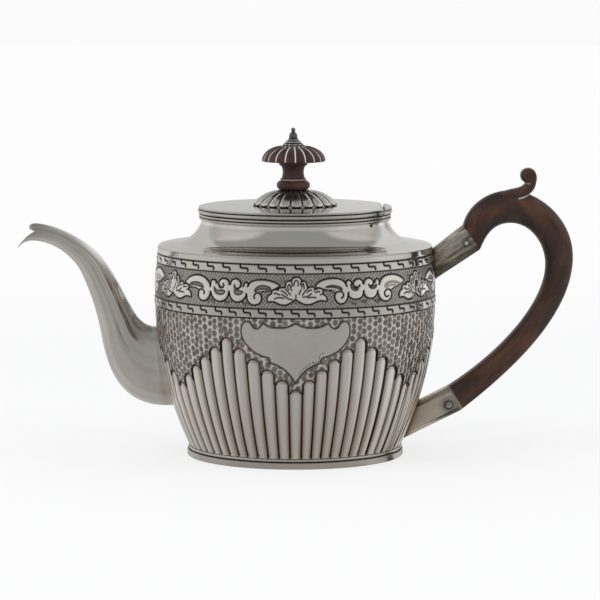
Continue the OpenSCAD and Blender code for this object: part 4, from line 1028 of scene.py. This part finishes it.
def spout_tones(u, deg):
    """Tones on the spout: tarnish in lengthwise streaks, brown stain in the hollow below the ridge with a painted
    reflection in it, and a fine dark line that ends the hollow, a painted reflection.
    """
    rng = np.random.default_rng(SEED + 2)
    a = np.radians(deg)
    streak = sum(np.sin(a * k + rng.uniform(0, 6) + 0.9 * np.sin(u * rng.uniform(0.6, 1.6) + rng.uniform(0, 6)))
                 for k in (5, 9, 14, 21)) / 4
    patch = sum(np.sin(a * k + 6 * u * m + rng.uniform(0, 6)) for k, m in ((3, 1.3), (-5, 0.9), (7, 2.1))) / 3
    hollow = bell(deg - 53, 8) * between(0.2, 0.7, 1.6, 2.1, u)
    fine = bell(deg - 61 - 5 * smoothstep(2.0, 1.0, u), 2.6) * between(0.5, 0.9, 2.9, 3.1, u) * smoothstep(1.2, 1.8, u)
    side = bell(deg - 92 + 14 * (1.1 - u), 2.5) * between(0.5, 0.7, 0.95, 1.2, u)
    belly = smoothstep(70, 120, deg) * smoothstep(1.3, 0.5, u) * (1 + patch)
    beak = smoothstep(2.6, 3.1, u)
    ridge = smoothstep(46, 34, deg) * between(0.15, 0.5, 2.7, 3.0, u)
    rim = bell(u - 0.07, 0.014) * smoothstep(115, 90, deg)
    dark = 0.02 + 0.13 * streak * (1 - ridge) + 0.06 * hollow + 0.45 * fine + 0.35 * side + 0.14 * beak + 0.03 * belly
    tan = 0.02 + 0.08 * streak + 0.80 * hollow + 0.11 * belly + 0.25 * beak + 0.35 * bell(u - 0.04, 0.03)
    # The ridge, a line near the root and a line at 69 degrees are painted highlights.
    polish_and_highlight = ridge + 0.35 * rim + 0.6 * bell(deg - 69, 4) * between(0.9, 1.5, 1.9, 2.4, u)
    return clip(dark), clip(tan), clip(polish_and_highlight)


rings, sides = 150, 144
outer, along, deg = spout_surface(rings, sides, 0)
inside, *_ = spout_surface(rings, sides, SPOUT_WALL)
wall = grid_faces(rings + 1, sides)
count = (rings + 1) * sides
rim = count - sides + np.arange(sides)
rim_next = np.roll(rim, -1)
lip = np.stack([rim, rim_next, rim_next + count, rim + count], -1)
tones = {key: np.concatenate([tone.ravel(), np.full(count, within)])
         for key, tone, within in zip(("dark", "tan", "polish_and_highlight"), spout_tones(along, deg), (0.5, 0.5, 0))}
spout = raw_mesh(np.stack([outer, inside]), np.vstack([wall, wall[:, ::-1] + count, lip]), tones)
finish_piece(spout, "spout_raised", "pot", ["spout"], "silver", plain, sharp=50)

# ---- sockets and rivets -------------------------------------------------------------
UPPER_MOUTH, LOWER_MOUTH = np.array([(81.5, 111.7), (89.8, 100.2)]), np.array([(74.2, 32.8), (81, 21.6)])
UPPER_ROOT_Z, LOWER_ROOT_Z = (100.2, 85.8), (25.7, 7.8)
SOCKET_W, CHAMFER = 6.0, 2.4


def socket_root(mouth, root_z, deep):
    """The socket's upper and lower edge, run on into the body by the depth."""
    ends = np.array([(float(body_radius(z)), z) for z in root_z])
    d = (ends - mouth) / np.linalg.norm(ends - mouth, axis=1)[:, None]
    return ends + d * deep


def octagon(pair, half_w, chamfer):
    high, low = pair
    mid, h = (high + low) / 2, np.linalg.norm(high - low) / 2
    d = (high - low) / (2 * h)
    q = [(h - chamfer, half_w), (chamfer - h, half_w), (-h, half_w - chamfer), (-h, chamfer - half_w),
         (chamfer - h, -half_w), (h - chamfer, -half_w), (h, chamfer - half_w), (h, half_w - chamfer)]
    return [(mid[0] + d[0] * a, b, mid[1] + d[1] * a) for a, b in q]


def bevel_edges(bm):
    sharp = [e for e in bm.edges if e.is_manifold and e.calc_face_angle() > 0.5]
    bmesh.ops.bevel(bm, geom=sharp, offset=0.22 * MM, segments=2, affect="EDGES", profile=0.6)
    bmesh.ops.triangulate(bm, faces=[f for f in bm.faces if len(f.verts) > 4])


def handle_socket(mouth, root_z):
    root = socket_root(mouth, root_z, 2.0)
    slant = mouth[1] - mouth[0]
    lip = np.array([mouth[0] + slant * 0.06, mouth[1] - slant * 0.06])
    rows = [octagon(pair, SOCKET_W - 0.9, CHAMFER - 0.4) for pair in (lip + (root - mouth) * 0.12, lip)]
    rows += [octagon(mouth + (root - mouth) * t, SOCKET_W - 0.02, CHAMFER) for t in np.arange(15) / 14]
    faces = grid_faces(len(rows), 8).tolist() + end_faces(8 * len(rows), 8)
    mesh = edit(raw_mesh(rows, faces), bevel_edges)
    x, y, z = points_of(mesh).T
    gap = np.maximum(np.hypot(x, y) - body_radius(z), 0)
    long = np.linalg.norm(slant)
    across = (np.stack([x, z], -1) - mouth.mean(0)) @ (-slant / long)
    # The dark line along the lower chamfer is painted shade.
    low_edge_shade = bell(across + long / 2 - CHAMFER, 0.45) * (np.abs(y) > 5.0)
    set_values(mesh, "dark", clip(0.75 * bell(gap, 0.9) + 0.6 * low_edge_shade))
    set_values(mesh, "tan", clip(0.9 * bell(gap, 3.5)))
    return mesh


def rivet_place(mouth, root_z, depth, off):
    middle = mouth.mean(0)
    d = middle - socket_root(mouth, root_z, 7.0).mean(0)
    d /= np.linalg.norm(d)
    return middle - d * depth + np.array((-d[1], d[0])) * off


def rivet(at, head):
    """A domed head on either side of a socket."""
    rise, steps = head * 0.45, 40
    big = (head**2 + rise**2) / (2 * rise)
    t = np.linspace(math.asin(head / big), 0, 9)
    bow = np.stack([big * np.sin(t), SOCKET_W + rise - big + big * np.cos(t)], -1)
    r, y = np.vstack([[(0.0, SOCKET_W - 0.6), (head, SOCKET_W - 0.6), (head, SOCKET_W)], bow]).T[:, :, None]
    a = turn(steps)[None, :]
    v = [np.stack([at[0] + r * np.cos(a), side * y + 0 * a, at[1] + r * np.sin(a)], -1) for side in (-1, 1)]
    faces = grid_faces(len(y), steps)
    ink = 0.75 * np.concatenate([(bell(r - head, 0.22 * head) + 0 * a).ravel()] * 2)
    return raw_mesh(v, np.vstack([faces, faces + y.size * steps]), {"dark": ink, "tan": ink * 0.3})


UPPER_RIVET = rivet_place(UPPER_MOUTH, UPPER_ROOT_Z, 3.8, -0.4)
LOWER_RIVET = rivet_place(LOWER_MOUTH, LOWER_ROOT_Z, 4.0, -1.2)
UPPER_HEAD, LOWER_HEAD = 1.2, 2.1
tarnished = silver("silver_upper_socket", light=(0.58, 0.55, 0.49), warm=(0.36, 0.30, 0.22), rough=(0.20, 0.36),
                   stain=0.5, grain=0.30, brush=(33.5, 0.92, (0.070, 0.056, 0.042)), ring=(*UPPER_RIVET, UPPER_HEAD))
rubbed = silver("silver_lower_socket", light=(0.60, 0.57, 0.51), warm=(0.44, 0.38, 0.30), rough=(0.20, 0.34),
                stain=0.6, grain=0.14, brush=(26.0, 0.22, (0.20, 0.16, 0.12)), ring=(*LOWER_RIVET, LOWER_HEAD))
for name, mesh, node, slot, material, sharp in (
        ("upper_socket_bar", handle_socket(UPPER_MOUTH, UPPER_ROOT_Z), "upper_socket", "silver", tarnished, 30),
        ("lower_socket_bar", handle_socket(LOWER_MOUTH, LOWER_ROOT_Z), "lower_socket", "silver", rubbed, 30),
        ("upper_rivet", rivet(UPPER_RIVET, UPPER_HEAD), "upper_handle_pin", "silver_dark", plain, 40),
        ("lower_rivet", rivet(LOWER_RIVET, LOWER_HEAD), "lower_handle_pin", "silver_dark", blackened, 40)):
    finish_piece(mesh, name, "pot", [node], slot, material, sharp=sharp)

# ---- handle -------------------------------------------------------------------------
UH, UL = UPPER_MOUTH
LH, LL = LOWER_MOUTH
REACH, GAP_END = 134.97, 121.5  # outer and inner face of the handle where it stands farthest out
HANDLE_OUT = np.array([UH, UH + (2, 9.3), UH + (11.5, 16.8), UH + (22.5, 16.9), UH + (35.5, 17.2), (REACH, 115.7),
                       (REACH, 96), (REACH, 69.5), LL + (27.8, 21.4), LL])
HANDLE_IN = np.array([UL, UL + (2.7, 6.3), UL + (6.2, 12.5), UL + (14.7, 12.5), UL + (24.2, 12.5), (GAP_END, 103),
                      (GAP_END, 92.5), (GAP_END, 74.5), LH + (26.9, 17.5), LH])
TONGUE = np.array([  # the thumb piece: x and z of its middle, half its thickness, half its width
    (94.0, 120.4, 3.0, 2.6), (97.5, 122.9, 3.1, 3.4), (101.0, 124.9, 3.0, 4.6), (104.5, 126.2, 2.9, 5.0),
    (108.6, 127.3, 2.7, 4.8), (111.6, 128.7, 2.65, 4.6), (113.4, 130.5, 2.65, 4.5), (114.5, 132.7, 2.35, 4.5),
    (115.2, 135.0, 1.9, 4.5),
    (114.7, 137.2, 1.6, 4.5), (112.9, 138.0, 1.5, 4.5), (111.0, 137.0, 1.6, 4.5), (110.8, 135.0, 1.6, 4.5),
    (112.2, 133.9, 1.6, 4.4), (113.4, 134.9, 1.7, 4.35), (113.2, 136.3, 1.5, 4.3), (112.2, 136.6, 1.3, 4.2),
    (112.2, 135.6, 1.2, 4.1)])
CREASE = np.array([(108.1, 124.9), (110.6, 125.5), (112.6, 126.3), (113.9, 127.3)])  # under the tongue
# A painted highlight in the notch below the thumb ball.
NOTCH_HIGHLIGHT = np.array([(111.4, 132.4), (112.5, 132.0), (113.5, 132.1)])


def signed_pow(v, e):
    return np.sign(v) * np.abs(v) ** e


def pale_line(v, line, width, power):
    """A pale mark along a line (x, z) on either side of the handle."""
    p = v[:, [0, 2]]
    best = np.full(len(p), 1e9)
    for a, b in zip(line[:-1], line[1:]):
        d = b - a
        t = clip(((p - a) @ d) / (d @ d))
        best = np.minimum(best, np.linalg.norm(p - a - t[:, None] * d, axis=1))
    return bell(best, width, power)


def wooden_tube(middle, x, z, y, round_place, pale):
    """Closed tube of rows of points; its grain follows the middle line."""
    run = np.concatenate([[0], np.cumsum(np.linalg.norm(np.diff(middle, axis=0), axis=1))])
    grain = np.stack([np.repeat(run[:, None], x.shape[1], 1), round_place, y], -1)
    v = np.stack([x, y, z], -1).reshape(-1, 3)
    faces = grid_faces(*x.shape).tolist() + end_faces(len(v), x.shape[1])
    return raw_mesh(v, faces, {"grain": grain, "dark": pale(v)})


def handle_mesh():
    u = np.linspace(0, 3, 201)
    end = np.minimum(u, 3 - u)
    a = turn(72)[None, :]
    e = (0.42 + 0.5 * clip(2.2 * end / 1.5) ** 0.8)[:, None]
    w = (SOCKET_W + 0.6 * clip(2 * end))[:, None] - 0.02
    out, inn = chain(HANDLE_OUT, u), chain(HANDLE_IN, u)
    c, s = signed_pow(np.cos(a), e), signed_pow(np.sin(a), e)
    x, z = np.moveaxis((out + inn)[:, None, :] / 2 + (out - inn)[:, None, :] / 2 * c[..., None], -1, 0)
    return wooden_tube((out + inn) / 2, x, z, w * s, c * 7, lambda v: clip(
        0.8 * pale_line(v, CREASE, 0.3, 4) + 0.5 * pale_line(v, LOWER_MOUTH, 0.25, 2)))


def thumb_mesh():
    line = spline(TONGUE, 10)
    middle, thick, wide = line[:, :2], line[:, 2:3], line[:, 3:4]
    d = np.gradient(middle, axis=0)
    d /= np.linalg.norm(d, axis=1)[:, None]
    a = turn(40)
    c = signed_pow(np.cos(a), 0.75)[None, :]
    x, z = middle[:, :1] - d[:, 1:] * thick * c, middle[:, 1:] + d[:, :1] * thick * c
    return wooden_tube(middle, x, z, wide * signed_pow(np.sin(a), 0.55), 3 * np.repeat(c, len(line), 0), lambda v: (
        0.85 * pale_line(v, CREASE, 0.35, 4) + 0.5 * pale_line(v, NOTCH_HIGHLIGHT, 0.22, 4)))


finish_piece(handle_mesh(), "handle_grip", "pot", ["handle"], "wood_handle", handle_wood, sharp=50)
finish_piece(thumb_mesh(), "thumb_scroll", "pot", ["handle"], "wood_handle", handle_wood, sharp=60)

# ---- small solids that stay as they are ---------------------------------------------
for node, material in (("base_plate", worn), ("hinge_pin", worn), ("hinge_knuckles_lid", plain),
                       ("lid_bezel", polished), ("finial_washer", polished), ("finial_nut", worn)):
    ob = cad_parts[node]
    ob.data.materials.clear()
    ob.data.materials.append(material)

# ---- floor, light and camera --------------------------------------------------------
WARM, COOL = (1.0, 0.97, 0.93), (1.0, 0.997, 0.985)
# tone of the room as the metal sees it, from straight in front (0) to straight behind (1)
LOW_LEFT = [(0.0, 0.49), (0.12, 0.50), (0.30, 0.62), (0.55, 0.68), (0.74, 0.64), (0.85, 0.80), (1.0, 0.62)]
LOW_RIGHT = [(0.0, 0.49), (0.12, 0.51), (0.30, 0.64), (0.42, 0.76), (0.60, 0.72), (0.700, 0.56), (0.714, 0.03),
             (0.782, 0.03), (0.792, 1.0), (0.86, 0.85), (0.93, 0.40), (0.97, 0.72), (1.0, 0.69)]
HIGH_LEFT = [(0.0, 0.42), (0.12, 0.45), (0.36, 0.68), (0.60, 0.72), (0.74, 0.58), (0.80, 0.60), (0.84, 0.76),
             (0.95, 0.66), (1.0, 0.62)]
HIGH_RIGHT = [(0.0, 0.42), (0.12, 0.45), (0.36, 0.68), (0.60, 0.72), (0.74, 0.56), (0.80, 0.64), (0.84, 0.90),
              (0.95, 0.80), (1.0, 0.69)]


def room_tone(n, behind, side, *walls):
    tinted = ([(p, tuple(v * c for c in (WARM if p < 0.7 else COOL))) for p, v in wall] for wall in walls)
    return n.mix(side, *(n.ramp(behind, stops) for stops in tinted))


def from_behind(n, y):
    """A direction's y made into a place on the room's ramps."""
    return n.math("ADD", n.math("MULTIPLY", y, 0.5), 0.5)


def white_floor():
    """Pale floor: white to the camera except for the shadow; in the metal it goes on with the tones of the room."""
    n = Nodes(bpy.data.materials.new("floor_white"))
    path = n.put("LightPath").outputs
    x, y, _ = n.split(n.coord)
    far = n.math("ADD", n.math("MULTIPLY", n.ramp(y, [(0.35, 0.0), (1.0, 1.0)]), 0.25), 0.75)
    seen = n.choose(far, n.shader("BsdfDiffuse", (0.9, 0.9, 0.9)), n.shader("Emission", (0.985, 0.985, 0.985)))
    away = {0: n.math("SUBTRACT", n.math("ABSOLUTE", x), 0.027), 1: n.math("ADD", y, 0.036)}
    away = n.put("CombineXYZ", away).outputs[0]
    behind = from_behind(n, n.split(n.vector("NORMALIZE", away))[1])
    tone = room_tone(n, behind, n.ramp(x, [(0.0, 0.0), (0.01, 1.0)]), LOW_LEFT, LOW_RIGHT)
    # In the metal the floor is darker close to the pot: a painted shadow round its foot.
    tone = n.mix(n.ramp(n.vector("LENGTH", n.coord), [(0.055, 0.35), (0.13, 0.0)]), tone, (0.30, 0.285, 0.26))
    mirrored = n.choose(path["Is Glossy Ray"], n.shader("BsdfDiffuse", (0.7, 0.7, 0.7)), n.shader("Emission", tone))
    return n.finish(n.choose(path["Is Camera Ray"], mirrored, seen))


FLOOR_HALF, FLOOR_Z = 6, -0.0002
floor_mesh = bpy.data.meshes.new("floor")
corners = [(x * FLOOR_HALF, y * FLOOR_HALF, FLOOR_Z) for x, y in ((-1, -1), (1, -1), (1, 1), (-1, 1))]
floor_mesh.from_pydata(corners, [], [(0, 1, 2, 3)])
floor_mesh.materials.append(white_floor())
floor = add_object("floor", floor_mesh)

scene = bpy.context.scene
scene.world = bpy.data.worlds.new("studio")
sky = Nodes(scene.world, "OutputWorld", "Generated")
x, y, z = sky.split(sky.coord)
aim = from_behind(sky, y), sky.ramp(x, [(0.0, 0.0), (0.02, 1.0)])
walls = sky.mix(sky.ramp(z, [(0.12, 0.0), (0.26, 1.0)]), room_tone(sky, *aim, LOW_LEFT, LOW_RIGHT),
                room_tone(sky, *aim, HIGH_LEFT, HIGH_RIGHT))
ceiling = sky.ramp(sky.math("ABSOLUTE", x), [(0.48, (0.42, 0.415, 0.40)), (0.60, (0.76, 0.74, 0.70))])
shine = sky.shader("Background", sky.mix(sky.ramp(z, [(0.60, 0.0), (0.65, 1.0)]), walls, ceiling))
even = sky.shader("Background", (0.93, 0.94, 0.95), Strength=0.85)
white = sky.shader("Background", (0.965, 0.965, 0.965))
path = sky.put("LightPath").outputs
sky.finish(sky.choose(path["Is Camera Ray"], sky.choose(path["Is Glossy Ray"], even, shine), white))

for name, place, size, power in (("key", (-0.9, -0.5, 1.1), 0.8, 5), ("fill", (1.1, -0.3, 0.9), 0.7, 3)):
    lamp = bpy.data.lights.new(name, "AREA")
    lamp.shape = "RECTANGLE"
    lamp.size = lamp.size_y = size
    lamp.energy = power
    ob = add_object(name, lamp)
    ob.location = place
    ob.rotation_euler = (Vector((0, 0, 0.07)) - Vector(place)).to_track_quat("-Z", "Y").to_euler()
    ob.visible_glossy = False

VIEW_PX, AXIS_PX = 600, 295.1  # width of the picture and the pot's axis in it
FOCAL_PX, DISTANCE, TILT, AIM_Z = 3319.0, 1.6147, math.radians(6.29), 0.07507
lens = bpy.data.cameras.new("camera")
lens.sensor_width = 36
lens.lens = lens.sensor_width * FOCAL_PX / VIEW_PX
lens.shift_x = (VIEW_PX / 2 - AXIS_PX) / VIEW_PX
lens.clip_start, lens.clip_end = 0.05, 30
camera = add_object("camera", lens)
camera.location = (0, -DISTANCE * math.cos(TILT), AIM_Z + DISTANCE * math.sin(TILT))
camera.rotation_euler = (math.pi / 2 - TILT, 0, 0)
scene.camera = camera
scene.view_settings.view_transform = "Standard"
